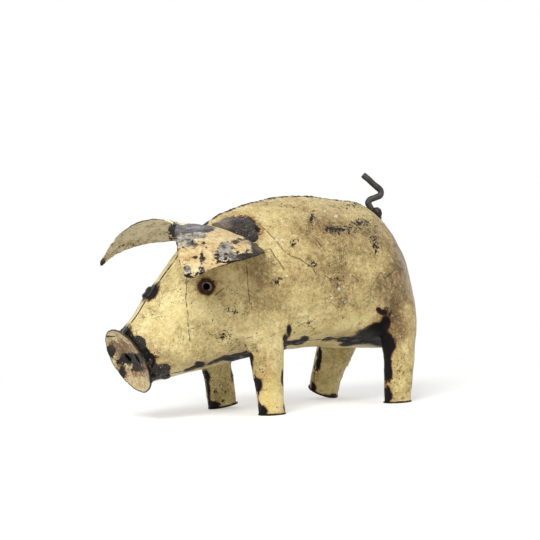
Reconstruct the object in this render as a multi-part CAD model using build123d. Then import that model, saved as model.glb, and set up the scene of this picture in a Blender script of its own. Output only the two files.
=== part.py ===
from build123d import *
import math
import os

# Standing pig ornament, welded together from hammered drum sheet.
# Build frame: X runs from the snout end of the head to the rump, Z up from the floor,
# the left side of the pig is on minus Y. The finished pieces are moved together at the
# end, so that the middle of the overall box on the floor becomes the origin.

# Overall body sizes, millimetres
body_length = 362.0
back_height = 216.5
body_width = 132.0
sheet = 1.2
seam_gap = 0.6
overrun = 40.0

# Cross-sections of the body from snout to rump: place along the body, then the heights of
# ridge and belly as shares of the back height, the width as a share of the body width,
# and the flat of the ridge as a share of the forehead strip.
body_station_shares = (
    (0.000, 0.309, 0.150, 0.258, 1.00),
    (0.055, 0.414, 0.162, 0.409, 1.00),
    (0.130, 0.569, 0.169, 0.545, 1.00),
    (0.229, 0.764, 0.194, 0.697, 1.00),
    (0.307, 0.873, 0.217, 0.803, 0.70),
    (0.400, 0.947, 0.240, 0.900, 0.20),
    (0.511, 0.991, 0.263, 0.975, 0.15),
    (0.644, 1.000, 0.273, 1.000, 0.15),
    (0.760, 0.977, 0.254, 0.985, 0.15),
    (0.848, 0.934, 0.247, 0.850, 0.15),
    (0.914, 0.818, 0.249, 0.540, 0.15),
    (0.964, 0.661, 0.259, 0.240, 0.12),
    (0.992, 0.476, 0.286, 0.068, 0.08),
    (1.000, 0.393, 0.323, 0.024, 0.06),
)

# Side of a cross-section, from ridge to belly strip: share of the half width, share of the depth
side_curve_shares = (
    (0.30, 0.075),
    (0.62, 0.190),
    (0.88, 0.360),
    (0.99, 0.520),
    (0.99, 0.620),
    (0.93, 0.740),
    (0.78, 0.855),
    (0.60, 0.910),
)
belly_edge_share = 0.40
belly_edge_depth_share = 0.945
ridge_bevel_share = 0.14

# Forehead strip
forehead_half_width = 5.4
forehead_end_share = 0.290

# Snout disc
snout_diameter = 69.0
snout_thickness = 2.0
snout_inset = 19.1
snout_centre_height = 56.6
snout_tilt = 30.5
snout_seat_gap = 0.3
nostril_diameter = 8.6
nostril_spacing = 21.0
nostril_drop = -4.6

# Eyes
eye_along_share = 0.2445
eye_height_share = 0.582
eye_ring_diameter = 14.5
eye_hole_diameter = 6.8
eye_ring_thickness = 1.5

# Legs
hip_height = 112.0
foot_width = 26.0
leg_height_shares = (-0.12, 0.00, 0.25, 0.42, 0.54, 0.76, 1.00)
leg_lean_shares = (-0.10, 0.00, 0.28, 0.57, 0.70, 0.89, 1.00)
front_tuck_shares = (0.00, 0.00, 0.02, 0.06, 0.115, 0.27, 0.52)
hind_tuck_shares = (0.00, 0.00, 0.02, 0.07, 0.14, 0.36, 0.85)
leg_width_shares = (1.00, 1.00, 1.04, 1.09, 1.17, 1.27, 1.35)
front_left_flare_shares = (1.00, 1.00, 1.07, 1.22, 1.38, 1.95, 2.40)
front_right_flare_shares = (1.00, 1.00, 1.03, 1.10, 1.35, 1.80, 2.20)
hind_left_flare_shares = (1.00, 1.00, 1.08, 1.20, 1.30, 1.50, 1.70)
hind_right_flare_shares = (1.00, 1.00, 1.14, 1.32, 1.42, 1.55, 1.65)
front_left_foot_length = 27.4
front_left_foot_x = 148.6
front_left_foot_y = -51.0
front_left_lean = -3.0
front_right_foot_length = 32.0
front_right_foot_x = 147.2
front_right_foot_y = 51.0
front_right_lean = -12.0
front_right_pitch = 8.0
hind_left_foot_length = 30.0
hind_left_foot_x = 294.9
hind_left_foot_y = -52.5
hind_left_lean = 11.0
hind_right_foot_length = 36.0
hind_right_foot_x = 271.5
hind_right_foot_y = 55.5
hind_right_lean = 30.0
hind_right_pitch = -13.0
hind_right_cant = 26.0
foot_lift_margin = 0.05

# Ears: leaf with a rounded root lobe, cut from domed sheet. Each outline is given in
# shares of the root width and of the leaf length, hammered over its own dome.
ear_root_width = 90.0
ear_leaf_length = 86.0
left_ear_front_shares = ((-0.47, -0.13), (-0.62, 0.35), (-0.64, 0.57), (-0.643, 0.83), (-0.61, 0.975))
left_ear_tip_share = (-0.56, 1.06)
left_ear_back_shares = (
    (-0.49, 1.055), (-0.30, 0.965), (-0.04, 0.816), (0.177, 0.627), (0.347, 0.372), (0.455, 0.14), (0.485, 0.0))
left_ear_lobe_shares = (
    (0.485, 0.0), (0.49, -0.17), (0.44, -0.35), (0.31, -0.47), (0.13, -0.44), (-0.05, -0.30), (-0.22, -0.20))
left_ear_dome_radius = 130.0
left_ear_crown_rise = 12.0
left_ear_crown_share = (-0.055, 0.29)
left_ear_root = (110.1, -37.0, 170.8)
left_ear_side_shares = (0.960, -0.100, -0.263)
left_ear_up_shares = (0.196, -0.432, 0.880)
right_ear_front_shares = ((-0.317, -0.142), (-0.46, 0.383), (-0.487, 0.623), (-0.502, 0.907), (-0.49, 1.05))
right_ear_tip_share = (-0.455, 1.159)
right_ear_back_shares = (
    (-0.40, 1.150), (-0.267, 1.055), (-0.08, 0.892), (0.081, 0.685), (0.215, 0.407), (0.307, 0.153), (0.339, 0.0))
right_ear_lobe_shares = (
    (0.339, 0.0), (0.345, -0.10), (0.31, -0.21), (0.21, -0.26), (0.08, -0.25), (-0.06, -0.22), (-0.18, -0.19))
right_ear_dome_radius = 70.0
right_ear_crown_rise = 12.0
right_ear_crown_share = (-0.098, 0.55)
right_ear_root = (114.5, 21.1, 186.9)
right_ear_side_shares = (0.888, 0.249, -0.386)
right_ear_up_shares = (0.279, 0.376, 0.884)

# Tail: bent steel rod
tail_rod_diameter = 5.5
tail_bend_radius = 4.6
tail_root_share = 0.873
tail_root_depth = 5.0
tail_bend_back = 10.2
tail_bend_rise = 16.5
tail_turn_back = 19.0
tail_turn_rise = 6.0
tail_sway = 4.0
tail_tip_back = 21.5
tail_tip_rise = 21.5

# Weld metal
weld_sides = 7
weld_sink = 3.2
weld_wobble_share = 0.14
weld_crown_share = 0.50
spine_bead_length = 12.0
spine_bead_width = 4.4
spine_bead_height = 1.1
spine_bead_pitch = 15.2
spine_first_share = 0.30
spine_last_share = 0.840
rump_bead_shares = (0.76, 0.68, 0.60, 0.52, 0.44)
tack_length = 11.0
tack_width = 7.0
tack_height = 2.0
forehead_tack_shares = (0.045, 0.130)
jaw_tack_shares = (0.135, 0.215, 0.285, 0.345, 0.375)
belly_tack_shares = (0.505, 0.545, 0.640, 0.685, 0.730)
rear_tack_shares = (0.880, 0.915)
leg_bead_length = 10.0
leg_bead_width = 4.6
leg_bead_height = 1.7
leg_bead_height_shares = (0.08, 0.20, 0.33, 0.44)
snout_bead_length = 11.6
snout_bead_width = 8.0
snout_bead_height = 3.4
snout_bead_count = 12
ear_bead_length = 11.0
ear_bead_width = 6.0
ear_bead_height = 2.6
ear_bead_shares = ((0.348, 0.062), (0.381, 0.106), (0.398, 0.180), (0.405, 0.262), (0.405, 0.345))
ear_pad_length = 46.0
ear_pad_width = 30.0
ear_pad_height = 4.2
left_ear_pad_shares = (0.360, 0.185)
right_ear_pad_shares = (0.360, 0.160)
tail_collar_diameter = 13.0
tail_collar_height = 5.0

half_body = body_width / 2
down = Vector(0, 0, -1)


def curve_places():
    """Shares of the way along a cross-section's side at which its points lie."""
    points = ((0, 0),) + side_curve_shares + ((belly_edge_share, belly_edge_depth_share),)
    spans = [math.dist((a[0] * half_body, a[1] * back_height), (b[0] * half_body, b[1] * back_height))
             for a, b in zip(points, points[1:])]
    return [sum(spans[:count]) / sum(spans) for count in range(len(points))]


def station_sizes(index, wall):
    """Ridge, belly, half width and ridge flat of one cross-section, set in by a wall."""
    along, ridge, belly, wide, flat = body_station_shares[index]
    before = body_station_shares[max(index - 1, 0)]
    after = body_station_shares[min(index + 1, len(body_station_shares) - 1)]
    run = (after[0] - before[0]) * body_length
    ridge_slope = (after[1] - before[1]) * back_height / run
    belly_slope = (after[2] - before[2]) * back_height / run
    width_slope = (after[3] - before[3]) * half_body / run
    top = ridge * back_height - wall * math.hypot(1, ridge_slope)
    bottom = belly * back_height + wall * math.hypot(1, belly_slope)
    half_width = wide * half_body - wall * math.hypot(1, width_slope)
    half_flat = flat * forehead_half_width - wall * ridge_bevel_share
    x = along * body_length
    if wall > 0 and index == len(body_station_shares) - 1:
        middle = (ridge + belly) * back_height / 2
        half_depth = (ridge - belly) * back_height / 4
        half_width = wide * half_body / 2
        return x - wall, middle + half_depth, middle - half_depth, half_width, half_width / 2
    return x, top, bottom, half_width, min(half_flat, half_width / 2)


def body_section(index, wall):
    """Closed outline across the body: ridge flat, two hammered sides and the rounded belly."""
    x, top, bottom, half_width, half_flat = station_sizes(index, wall)
    depth = top - bottom
    reach = half_width - half_flat
    side = [(half_flat, top)]
    side += [(half_flat + reach * out, top - depth * fall) for out, fall in side_curve_shares]
    side += [(half_flat + reach * belly_edge_share, top - depth * belly_edge_depth_share)]
    right = [Vector(x, y, z) for y, z in side]
    left = [Vector(x, -y, z) for y, z in side]
    places = curve_places()
    ridge_line = Edge.make_line(left[0], right[0])
    right_side = Edge.make_spline(right, parameters=places)
    belly_line = Edge.make_spline([right[-1], Vector(x, 0, bottom), left[-1]], parameters=[0, 0.5, 1])
    left_side = Edge.make_spline(left[::-1], parameters=[1 - place for place in places[::-1]])
    return Wire([ridge_line, right_side, belly_line, left_side])


def body_solid(wall):
    """Body and head as one closed form, set in by a wall."""
    return Solid.make_loft([body_section(index, wall) for index in range(len(body_station_shares))])


def smooth_share(x, column):
    """Value of one column of the cross-section table at a place along the body."""
    place = x / body_length
    rows = body_station_shares
    index = max(i for i in range(len(rows) - 1) if rows[i][0] <= place)
    low, high = rows[index], rows[index + 1]
    part = (place - low[0]) / (high[0] - low[0])
    return low[column] + part * (high[column] - low[column])


def belly_edge_y(x):
    """Half width of the belly strip at a place along the body."""
    flat = smooth_share(x, 4) * forehead_half_width
    return flat + (smooth_share(x, 3) * half_body - flat) * belly_edge_share


def belly_edge_z(x):
    """Height of the belly strip's edge at a place along the body."""
    top = smooth_share(x, 1) * back_height
    bottom = smooth_share(x, 2) * back_height
    return top - (top - bottom) * belly_edge_depth_share


def snout_plane(back):
    """Plane of the snout disc, a given distance behind its front face, looking forward."""
    tilt = math.radians(snout_tilt)
    forward = Vector(-math.cos(tilt), 0, -math.sin(tilt))
    centre = Vector(snout_inset, 0, snout_centre_height)
    return Plane(origin=centre - forward * back, x_dir=(0, 1, 0), z_dir=forward)


def trim_snout_end(solid):
    """Keep what lies behind the snout disc."""
    cut = snout_plane(snout_thickness + snout_seat_gap)
    return split(solid, bisect_by=cut, keep=Keep.BOTTOM)


def middle_line(x):
    """Height halfway between ridge and belly at a place along the body."""
    return (smooth_share(x, 1) + smooth_share(x, 2)) * back_height / 2


def strip_cutter(half_widths, low, gap):
    """Upright prism over a strip's plan outline, above or below the middle of the body."""
    near = [(x, -y - gap) for x, y in half_widths]
    far = [(x, y + gap) for x, y in half_widths]
    outline = make_face(Polyline(near + far[::-1], close=True))
    prism = extrude(outline, amount=back_height + overrun)
    xs = [x for x, y in half_widths]
    edge = [(x, middle_line(min(max(x, 0), body_length - sheet))) for x in xs]
    limit = -overrun if low else back_height + overrun
    side = Polyline(edge + [(xs[-1], limit), (xs[0], limit)], close=True)
    part = extrude(Plane.XZ * make_face(side), amount=body_width, both=True)
    return prism & part if not low else Pos(0, 0, -overrun) * prism & part


def forehead_cutter(gap):
    """Strip between the two side sheets, from the snout to the crown."""
    end = forehead_end_share * body_length
    xs = [-overrun, forehead_end_share * body_length * 0.5, end]
    return strip_cutter([(x, forehead_half_width) for x in xs], False, gap)


def belly_cutter(gap):
    """Strip that closes the underside, from the jaw to the foot of the rump."""
    xs = [along * body_length for along, *rest in body_station_shares[:-1]]
    rows = [(x, belly_edge_y(x)) for x in xs]
    return strip_cutter(rows, True, gap)


def leg_centre(leg, share, index):
    """Centre of one leg section."""
    x = leg["x"] + leg["lean"] * leg_lean_shares[index]
    side = math.copysign(1, leg["y"])
    y = leg["y"] - side * foot_width * leg["tuck"][index]
    return Vector(x, y, hip_height * share)


def leg_solid(leg, wall):
    """Tapered leg from below the floor to inside the body."""
    rings = []
    for index, share in enumerate(leg_height_shares):
        centre = leg_centre(leg, share, index)
        half_length = leg["length"] / 2 * leg["flare"][index] - wall
        half_width = foot_width / 2 * leg_width_shares[index] - wall
        rings.append(Plane(origin=centre) * Ellipse(half_length, half_width).face())
    return Solid.make_loft([ring.outer_wire() for ring in rings])


def sole_plane(leg, rise):
    """Plane of a foot's sole; a tilted foot stands on its lowest edge."""
    slope = math.tan(math.radians(leg["pitch"]))
    cross_slope = math.tan(math.radians(leg["cant"]))
    lift = math.hypot(slope * leg["length"] / 2, cross_slope * foot_width / 2)
    up = Vector(-slope, -cross_slope, 1).normalized()
    if lift:
        lift += foot_lift_margin
    return Plane(origin=Vector(leg["x"], leg["y"], lift) + up * rise, z_dir=up)


def leg_seam_plane(leg, shift):
    """Upright plane through the front and back seams of a leg, facing outwards."""
    side = math.copysign(1, leg["y"])
    inward = foot_width * leg["tuck"][-2]
    run = Vector(0, -side * inward, hip_height * leg_height_shares[-2])
    out = Vector(0, run.Z * side, -run.Y * side).normalized()
    if out.Y * side < 0:
        out = out * -1
    origin = Vector(leg["x"], leg["y"], 0) + out * shift
    return Plane(origin=origin, x_dir=(1, 0, 0), z_dir=out)


def leg_wall(leg):
    """Hollow leg above its sole plate."""
    tube = leg_solid(leg, 0) - leg_solid(leg, sheet)
    return split(tube, bisect_by=sole_plane(leg, sheet), keep=Keep.TOP)


def sole_plate(leg):
    """Plate that closes the foot."""
    foot = split(leg_solid(leg, 0), bisect_by=sole_plane(leg, 0), keep=Keep.TOP)
    return split(foot, bisect_by=sole_plane(leg, sheet), keep=Keep.BOTTOM)


def leg_inner_shell(leg, body):
    """Inner half of a leg, cut to the underside of the body."""
    half = split(leg_wall(leg), bisect_by=leg_seam_plane(leg, -seam_gap / 2), keep=Keep.BOTTOM)
    return largest(half - body)


def leg_outer_shell(leg, body_inside):
    """Outer half of a leg, which runs on into the side sheet."""
    half = split(leg_wall(leg), bisect_by=leg_seam_plane(leg, seam_gap / 2), keep=Keep.TOP)
    return half - body_inside


def largest(shape):
    """The biggest solid of a cut."""
    return max(shape.solids(), key=lambda solid: solid.volume)


def touch(solid, start, direction):
    """First point and outward normal where a line from outside meets a solid."""
    hits = solid.find_intersection_points(Axis(start, direction))
    ahead = [hit for hit in hits if (hit[0] - start).dot(direction) > 0]
    point, normal = min(ahead, key=lambda hit: (hit[0] - start).dot(direction))
    if normal.dot(direction) > 0:
        normal = normal * -1
    return point, normal


def weld_lump(point, normal, along, length, width, height, turn):
    """One cooled puddle of weld metal: a wobbly seven-sided pebble, sunk into its seat."""
    frame = Plane(origin=point, x_dir=along - normal * along.dot(normal), z_dir=normal)
    rings = []
    for depth, scale in ((-weld_sink, 1.0), (height / 3, 1.0), (height, weld_crown_share)):
        corners = []
        for step in range(weld_sides):
            angle = math.tau * step / weld_sides
            wobble = 1 + weld_wobble_share * math.sin(3 * angle + turn)
            across = math.cos(angle) * length / 2 * scale * wobble
            beside = math.sin(angle) * width / 2 * scale * wobble
            corners.append(frame.from_local_coords(Vector(across, beside, depth)))
        rings.append(Wire.make_polygon(corners))
    return Solid.make_loft(rings, ruled=True)


def seated(lumps, seats):
    """Weld puddles cut to the sheets that they sit on."""
    beads = []
    for lump in lumps:
        for seat in seats:
            lump = lump - seat
        beads.append(largest(lump))
    return Compound(beads)


def spine_weld(body):
    """Row of short welds along the ridge, over the back and down the rump."""
    lumps = []
    x = spine_first_share * body_length
    turn = 0
    while x < spine_last_share * body_length:
        point, normal = touch(body, Vector(x, 0, back_height + overrun), down)
        lumps.append(weld_lump(point, normal, Vector(1, 0, 0), spine_bead_length,
                               spine_bead_width, spine_bead_height, turn))
        x += spine_bead_pitch
        turn += 1
    for share in rump_bead_shares:
        start = Vector(body_length + overrun, 0, back_height * share)
        point, normal = touch(body, start, Vector(-1, 0, 0))
        lumps.append(weld_lump(point, normal, Vector(0, 0, -1), spine_bead_length,
                               spine_bead_width, spine_bead_height, turn))
        turn += 1
    return seated(lumps, [body])


def seam_tacks(body, shares, side, low):
    """Tack welds along an edge of the forehead strip or of the belly strip."""
    lumps = []
    for turn, share in enumerate(shares):
        x = share * body_length
        if low:
            aim = Vector(x, side * belly_edge_y(x), belly_edge_z(x))
            toward = Vector(0, -side, 1).normalized()
        else:
            aim = Vector(x, side * forehead_half_width, smooth_share(x, 1) * back_height)
            toward = Vector(0, 0, -1)
        point, normal = touch(body, aim - toward * overrun, toward)
        beyond = touch(body, aim - toward * overrun + Vector(tack_length, 0, 0), toward)[0]
        lumps.append(weld_lump(point, normal, beyond - point, tack_length, tack_width, tack_height, turn))
    return seated(lumps, [body])


def leg_weld(leg, leg_form, body):
    """Short welds up the front seam and the back seam of a leg."""
    seam = leg_seam_plane(leg, 0)
    lumps = []
    for turn, share in enumerate(leg_bead_height_shares):
        z = share * hip_height
        y = seam.origin.Y - z * seam.z_dir.Z / seam.z_dir.Y
        for toward in (1, -1):
            start = Vector(leg["x"] - toward * body_width, y, z)
            point, normal = touch(leg_form, start, Vector(toward, 0, 0))
            lumps.append(weld_lump(point, normal, Vector(0, 0, 1), leg_bead_length,
                                   leg_bead_width, leg_bead_height, turn * toward))
    return seated(lumps, [leg_form, body])


def snout_disc():
    """Tilted disc with two nostrils."""
    disc = Cylinder(snout_diameter / 2, snout_thickness, align=(Align.CENTER, Align.CENTER, Align.MAX))
    for side in (-1, 1):
        hole = Cylinder(nostril_diameter / 2, snout_thickness + overrun)
        disc -= Pos(side * nostril_spacing / 2, nostril_drop, 0) * hole
    return snout_plane(0) * disc


def snout_weld(head, disc):
    """Thick ring of weld between the back of the disc and the end of the head."""
    ring = snout_plane(snout_thickness + snout_bead_width / 2)
    back_of_disc = snout_plane(snout_thickness)
    lumps = []
    for step in range(snout_bead_count):
        angle = math.tau * (step + 0.5) / snout_bead_count
        out = ring.x_dir * math.cos(angle) + ring.y_dir * math.sin(angle)
        around = ring.y_dir * math.cos(angle) - ring.x_dir * math.sin(angle)
        point, normal = touch(head, ring.origin + out * snout_diameter, out * -1)
        lumps.append(weld_lump(point, normal, around, snout_bead_length,
                               snout_bead_width, snout_bead_height, step))
    lumps = [split(lump, bisect_by=back_of_disc, keep=Keep.BOTTOM) for lump in lumps]
    return seated(lumps, [head])


def ear_solid(ear, body):
    """Domed ear leaf with its root lobe, trimmed to the body that it is welded to."""
    frame = Plane(origin=ear["root"], x_dir=ear["side"], z_dir=ear["up"])

    def place(share):
        return (share[0] * ear_root_width, ear["hand"] * share[1] * ear_leaf_length)

    front = Spline([place(share) for share in ear["front"]])
    tip = ThreePointArc(place(ear["front"][-1]), place(ear["tip"]), place(ear["back"][0]))
    back = Spline([place(share) for share in ear["back"]])
    lobe = Spline([place(share) for share in ear["lobe"]])
    root_edge = Line(place(ear["lobe"][-1]), place(ear["front"][0]))
    radius = ear["radius"]
    blank = extrude(make_face([front, tip, back, lobe, root_edge]), amount=radius, both=True)
    crown = place(ear["crown"])
    centre = Pos(crown[0], crown[1], ear["rise"] - radius)
    dome = centre * (Sphere(radius) - Sphere(radius - sheet))
    upper_half = centre * Cylinder(radius + sheet, radius * 2, align=(Align.CENTER, Align.CENTER, Align.MIN))
    return largest((frame * (blank & dome & upper_half)) - body)


def ear_weld(body, ear, side, pad_shares, root_line):
    """Burnt pad of weld under the root of an ear, with short welds behind it."""
    along, out = pad_shares
    start = Vector(along * body_length, side * out * body_width, back_height + overrun)
    point, normal = touch(body, start, down)
    lumps = [weld_lump(point, normal, Vector(*root_line), ear_pad_length, ear_pad_width, ear_pad_height, 0)]
    for turn, (along, out) in enumerate(ear_bead_shares):
        start = Vector(along * body_length, side * out * body_width, back_height + overrun)
        point, normal = touch(body, start, down)
        lumps.append(weld_lump(point, normal, Vector(1, 0, 0), ear_bead_length,
                               ear_bead_width, ear_bead_height, turn))
    return seated(lumps, [body, ear])


def eye_place(body, side):
    """Seat of an eye ring on the side of the head."""
    aim = Vector(eye_along_share * body_length, side * body_width, eye_height_share * back_height)
    point, normal = touch(body, aim, Vector(0, -side, 0))
    return Plane(origin=point, z_dir=normal)


def eye_ring(body, side):
    """Flat steel ring round the pierced eye."""
    seat = eye_place(body, side)
    base = (Align.CENTER, Align.CENTER, Align.MIN)
    depth = eye_ring_thickness * 2
    ring = Cylinder(eye_ring_diameter / 2, depth, align=base)
    ring -= Cylinder(eye_hole_diameter / 2, depth, align=base)
    return largest((seat * Pos(0, 0, -eye_ring_thickness) * ring) - body)


def tail_rod(body):
    """Curled rod: a kink backwards, a turn forwards and a raised tip."""
    x = tail_root_share * body_length
    seat, normal = touch(body, Vector(x, 0, back_height + overrun), down)
    start = seat - Vector(0, 0, tail_root_depth)
    bend = seat + Vector(-tail_bend_back, tail_sway, tail_bend_rise)
    turn = bend + Vector(tail_turn_back, -tail_sway * 2, tail_turn_rise)
    tip = turn + Vector(-tail_tip_back, tail_sway * 2, tail_tip_rise)
    path = FilletPolyline([start, bend, turn, tip], radius=tail_bend_radius)
    section = Plane(origin=path @ 0, z_dir=path % 0) * Circle(tail_rod_diameter / 2)
    return largest(sweep(section, path=path) - body)


def tail_collar(body, rod):
    """Weld collar round the foot of the tail."""
    x = tail_root_share * body_length
    seat, normal = touch(body, Vector(x, 0, back_height + overrun), down)
    collar = Cone(tail_collar_diameter / 2, tail_rod_diameter / 2, tail_collar_height * 2)
    return largest(Plane(origin=seat, z_dir=(normal + Vector(0, 0, 1)).normalized()) * collar - body - rod)


left_ear_leaf = {"root": left_ear_root, "side": left_ear_side_shares, "up": left_ear_up_shares, "hand": -1,
                 "front": left_ear_front_shares, "tip": left_ear_tip_share, "back": left_ear_back_shares,
                 "lobe": left_ear_lobe_shares, "crown": left_ear_crown_share,
                 "radius": left_ear_dome_radius, "rise": left_ear_crown_rise}
right_ear_leaf = {"root": right_ear_root, "side": right_ear_side_shares, "up": right_ear_up_shares, "hand": 1,
                  "front": right_ear_front_shares, "tip": right_ear_tip_share, "back": right_ear_back_shares,
                  "lobe": right_ear_lobe_shares, "crown": right_ear_crown_share,
                  "radius": right_ear_dome_radius, "rise": right_ear_crown_rise}
front_left = {"x": front_left_foot_x, "y": front_left_foot_y, "lean": front_left_lean,
              "pitch": 0, "cant": 0, "length": front_left_foot_length,
              "flare": front_left_flare_shares, "tuck": front_tuck_shares}
front_right = {"x": front_right_foot_x, "y": front_right_foot_y, "lean": front_right_lean,
               "pitch": front_right_pitch, "cant": 0, "length": front_right_foot_length,
               "flare": front_right_flare_shares, "tuck": front_tuck_shares}
hind_left = {"x": hind_left_foot_x, "y": hind_left_foot_y, "lean": hind_left_lean,
             "pitch": 0, "cant": 0, "length": hind_left_foot_length,
             "flare": hind_left_flare_shares, "tuck": hind_tuck_shares}
hind_right = {"x": hind_right_foot_x, "y": hind_right_foot_y, "lean": hind_right_lean,
              "pitch": hind_right_pitch, "cant": hind_right_cant, "length": hind_right_foot_length,
              "flare": hind_right_flare_shares, "tuck": hind_tuck_shares}

body_form = trim_snout_end(body_solid(0))
body_hollow = body_solid(sheet)
body_wall = body_form - body_hollow
nodes = {}


def side_panel(side, legs):
    """One side sheet: cheek, flank and rump, running down into the outer halves of its legs."""
    mid = Plane(origin=(0, side * seam_gap / 2, 0), x_dir=(1, 0, 0), z_dir=(0, side, 0))
    wall = split(body_wall, bisect_by=mid, keep=Keep.TOP)
    wall = wall - forehead_cutter(seam_gap / 2) - belly_cutter(seam_gap / 2)
    eye = eye_place(body_form, side) * Cylinder(eye_hole_diameter / 2, overrun / 2)
    wall = wall - eye
    for leg in legs:
        wall = wall - leg_solid(leg, sheet)
    wall = largest(wall)
    for leg in legs:
        wall = wall + leg_outer_shell(leg, body_hollow)
    return largest(wall)


nodes["left_side_panel"] = side_panel(-1, (front_left, hind_left))
nodes["right_side_panel"] = side_panel(1, (front_right, hind_right))
nodes["forehead_strip"] = largest(body_wall & forehead_cutter(-seam_gap / 2))
nodes["belly_strip"] = largest(body_wall & belly_cutter(-seam_gap / 2))
for name, leg in (("front_left", front_left), ("front_right", front_right),
                  ("hind_left", hind_left), ("hind_right", hind_right)):
    nodes[name + "_leg_inner"] = leg_inner_shell(leg, body_form)
    nodes[name + "_sole"] = sole_plate(leg)
    nodes[name + "_leg_weld"] = leg_weld(leg, leg_solid(leg, 0), body_form)
nodes["snout_disc"] = snout_disc()
nodes["snout_weld"] = snout_weld(body_form, nodes["snout_disc"])
nodes["left_ear"] = ear_solid(left_ear_leaf, body_form)
nodes["right_ear"] = ear_solid(right_ear_leaf, body_form)
nodes["left_ear_weld"] = ear_weld(
    body_form, nodes["left_ear"], -1, left_ear_pad_shares, left_ear_side_shares)
nodes["right_ear_weld"] = ear_weld(
    body_form, nodes["right_ear"], 1, right_ear_pad_shares, right_ear_side_shares)
nodes["left_eye_ring"] = eye_ring(body_form, -1)
nodes["right_eye_ring"] = eye_ring(body_form, 1)
nodes["tail_rod"] = tail_rod(body_form)
nodes["tail_weld"] = tail_collar(body_form, nodes["tail_rod"])
nodes["spine_weld"] = spine_weld(body_form)
nodes["left_forehead_weld"] = seam_tacks(body_form, forehead_tack_shares, -1, False)
nodes["right_forehead_weld"] = seam_tacks(body_form, forehead_tack_shares, 1, False)
nodes["left_jaw_weld"] = seam_tacks(body_form, jaw_tack_shares, -1, True)
nodes["right_jaw_weld"] = seam_tacks(body_form, jaw_tack_shares, 1, True)
nodes["left_belly_weld"] = seam_tacks(body_form, belly_tack_shares + rear_tack_shares, -1, True)
nodes["right_belly_weld"] = seam_tacks(body_form, belly_tack_shares + rear_tack_shares, 1, True)

whole = Compound([solid for shape in nodes.values() for solid in shape.solids()]).bounding_box()
middle = (whole.min + whole.max) / 2
to_origin = Pos(-middle.X, -middle.Y, -whole.min.Z)

os.makedirs("parts", exist_ok=True)
for name, shape in nodes.items():
    export_step(to_origin * shape, "parts/" + name + ".step")
print("moved by", to_origin.position, "overall", whole.size)
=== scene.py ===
import math
import bmesh
import bpy
import numpy as np
from mathutils import Matrix, Vector, noise
from mathutils.bvhtree import BVHTree
from mathutils.kdtree import KDTree


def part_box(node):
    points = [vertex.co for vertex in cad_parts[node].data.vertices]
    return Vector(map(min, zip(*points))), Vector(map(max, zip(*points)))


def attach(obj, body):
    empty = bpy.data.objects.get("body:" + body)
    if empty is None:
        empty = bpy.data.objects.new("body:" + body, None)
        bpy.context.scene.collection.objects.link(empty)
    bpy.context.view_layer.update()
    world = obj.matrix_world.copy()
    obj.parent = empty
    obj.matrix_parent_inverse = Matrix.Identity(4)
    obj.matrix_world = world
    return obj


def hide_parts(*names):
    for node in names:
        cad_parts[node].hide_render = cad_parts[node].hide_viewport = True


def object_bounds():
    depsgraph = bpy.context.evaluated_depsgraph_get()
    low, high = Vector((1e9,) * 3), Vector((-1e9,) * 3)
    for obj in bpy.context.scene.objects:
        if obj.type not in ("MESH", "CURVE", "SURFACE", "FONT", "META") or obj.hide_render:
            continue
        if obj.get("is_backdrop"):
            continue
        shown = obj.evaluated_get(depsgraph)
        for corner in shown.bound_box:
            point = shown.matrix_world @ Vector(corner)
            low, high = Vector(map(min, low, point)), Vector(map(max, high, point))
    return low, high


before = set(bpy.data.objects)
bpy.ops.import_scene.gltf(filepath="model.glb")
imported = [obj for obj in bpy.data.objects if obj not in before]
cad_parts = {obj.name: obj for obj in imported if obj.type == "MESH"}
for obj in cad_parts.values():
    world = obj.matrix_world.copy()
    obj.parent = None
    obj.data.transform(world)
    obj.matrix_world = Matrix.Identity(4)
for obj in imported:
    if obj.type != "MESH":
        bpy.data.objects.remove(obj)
cad_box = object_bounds()
scene = bpy.context.scene

# Camera
# The photograph looks at the pig's front left from a little over a metre away, level with
# its belly. Places are in millimetres from the snout end of the ridge, as in the CAD.
front_left_foot = (148.6, -51.0)
sole_middle = [sum(ends) / 2 * 1000 for ends in zip(*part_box("front_left_sole"))]
shift = np.array((sole_middle[0] - front_left_foot[0], sole_middle[1] - front_left_foot[1], 0))


def placed(point):
    """Places in millimetres as points of the frame, in metres."""
    return (np.asarray(point, float) + shift) / 1000


turn, rise, roll = math.radians(28.49), math.radians(0.21), math.radians(2.57)
distance = 1200
aim = (165, 0, 110)
aim_pixel = (256.74, 300.92)
pixels_per_mm = 1 / 1.01
photo_side = 540
back = Vector((-math.sin(turn) * math.cos(rise), -math.cos(turn) * math.cos(rise), math.sin(rise)))
level_right = Vector((math.cos(turn), -math.sin(turn), 0))
level_up = level_right.cross(-back)
right = level_right * math.cos(roll) - level_up * math.sin(roll)
up = level_right * math.sin(roll) + level_up * math.cos(roll)
camera_data = bpy.data.cameras.new("camera")
camera = bpy.data.objects.new("camera", camera_data)
scene.collection.objects.link(camera)
scene.camera = camera
camera_data.sensor_width = 36
camera_data.lens = distance * pixels_per_mm / photo_side * camera_data.sensor_width
camera_data.shift_x = (photo_side / 2 - aim_pixel[0]) / photo_side
camera_data.shift_y = (aim_pixel[1] - photo_side / 2) / photo_side
camera_place = Vector(placed(aim)) + back * distance / 1000
camera.matrix_world = Matrix.Translation(camera_place) @ Matrix((right, up, back)).transposed().to_4x4()
eye = np.array(aim) + np.array(back) * distance


def line_of_sight(u, v):
    """Direction from the camera through a pixel of the photograph."""
    across = (u - aim_pixel[0]) / pixels_per_mm / distance
    upward = (aim_pixel[1] - v) / pixels_per_mm / distance
    return (right * across + up * upward - back).normalized()


# Floor and lights
# A plain white studio floor that keeps the soft shadow, a large lamp at the upper left,
# a weak one at the right and even light from all round.


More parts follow.
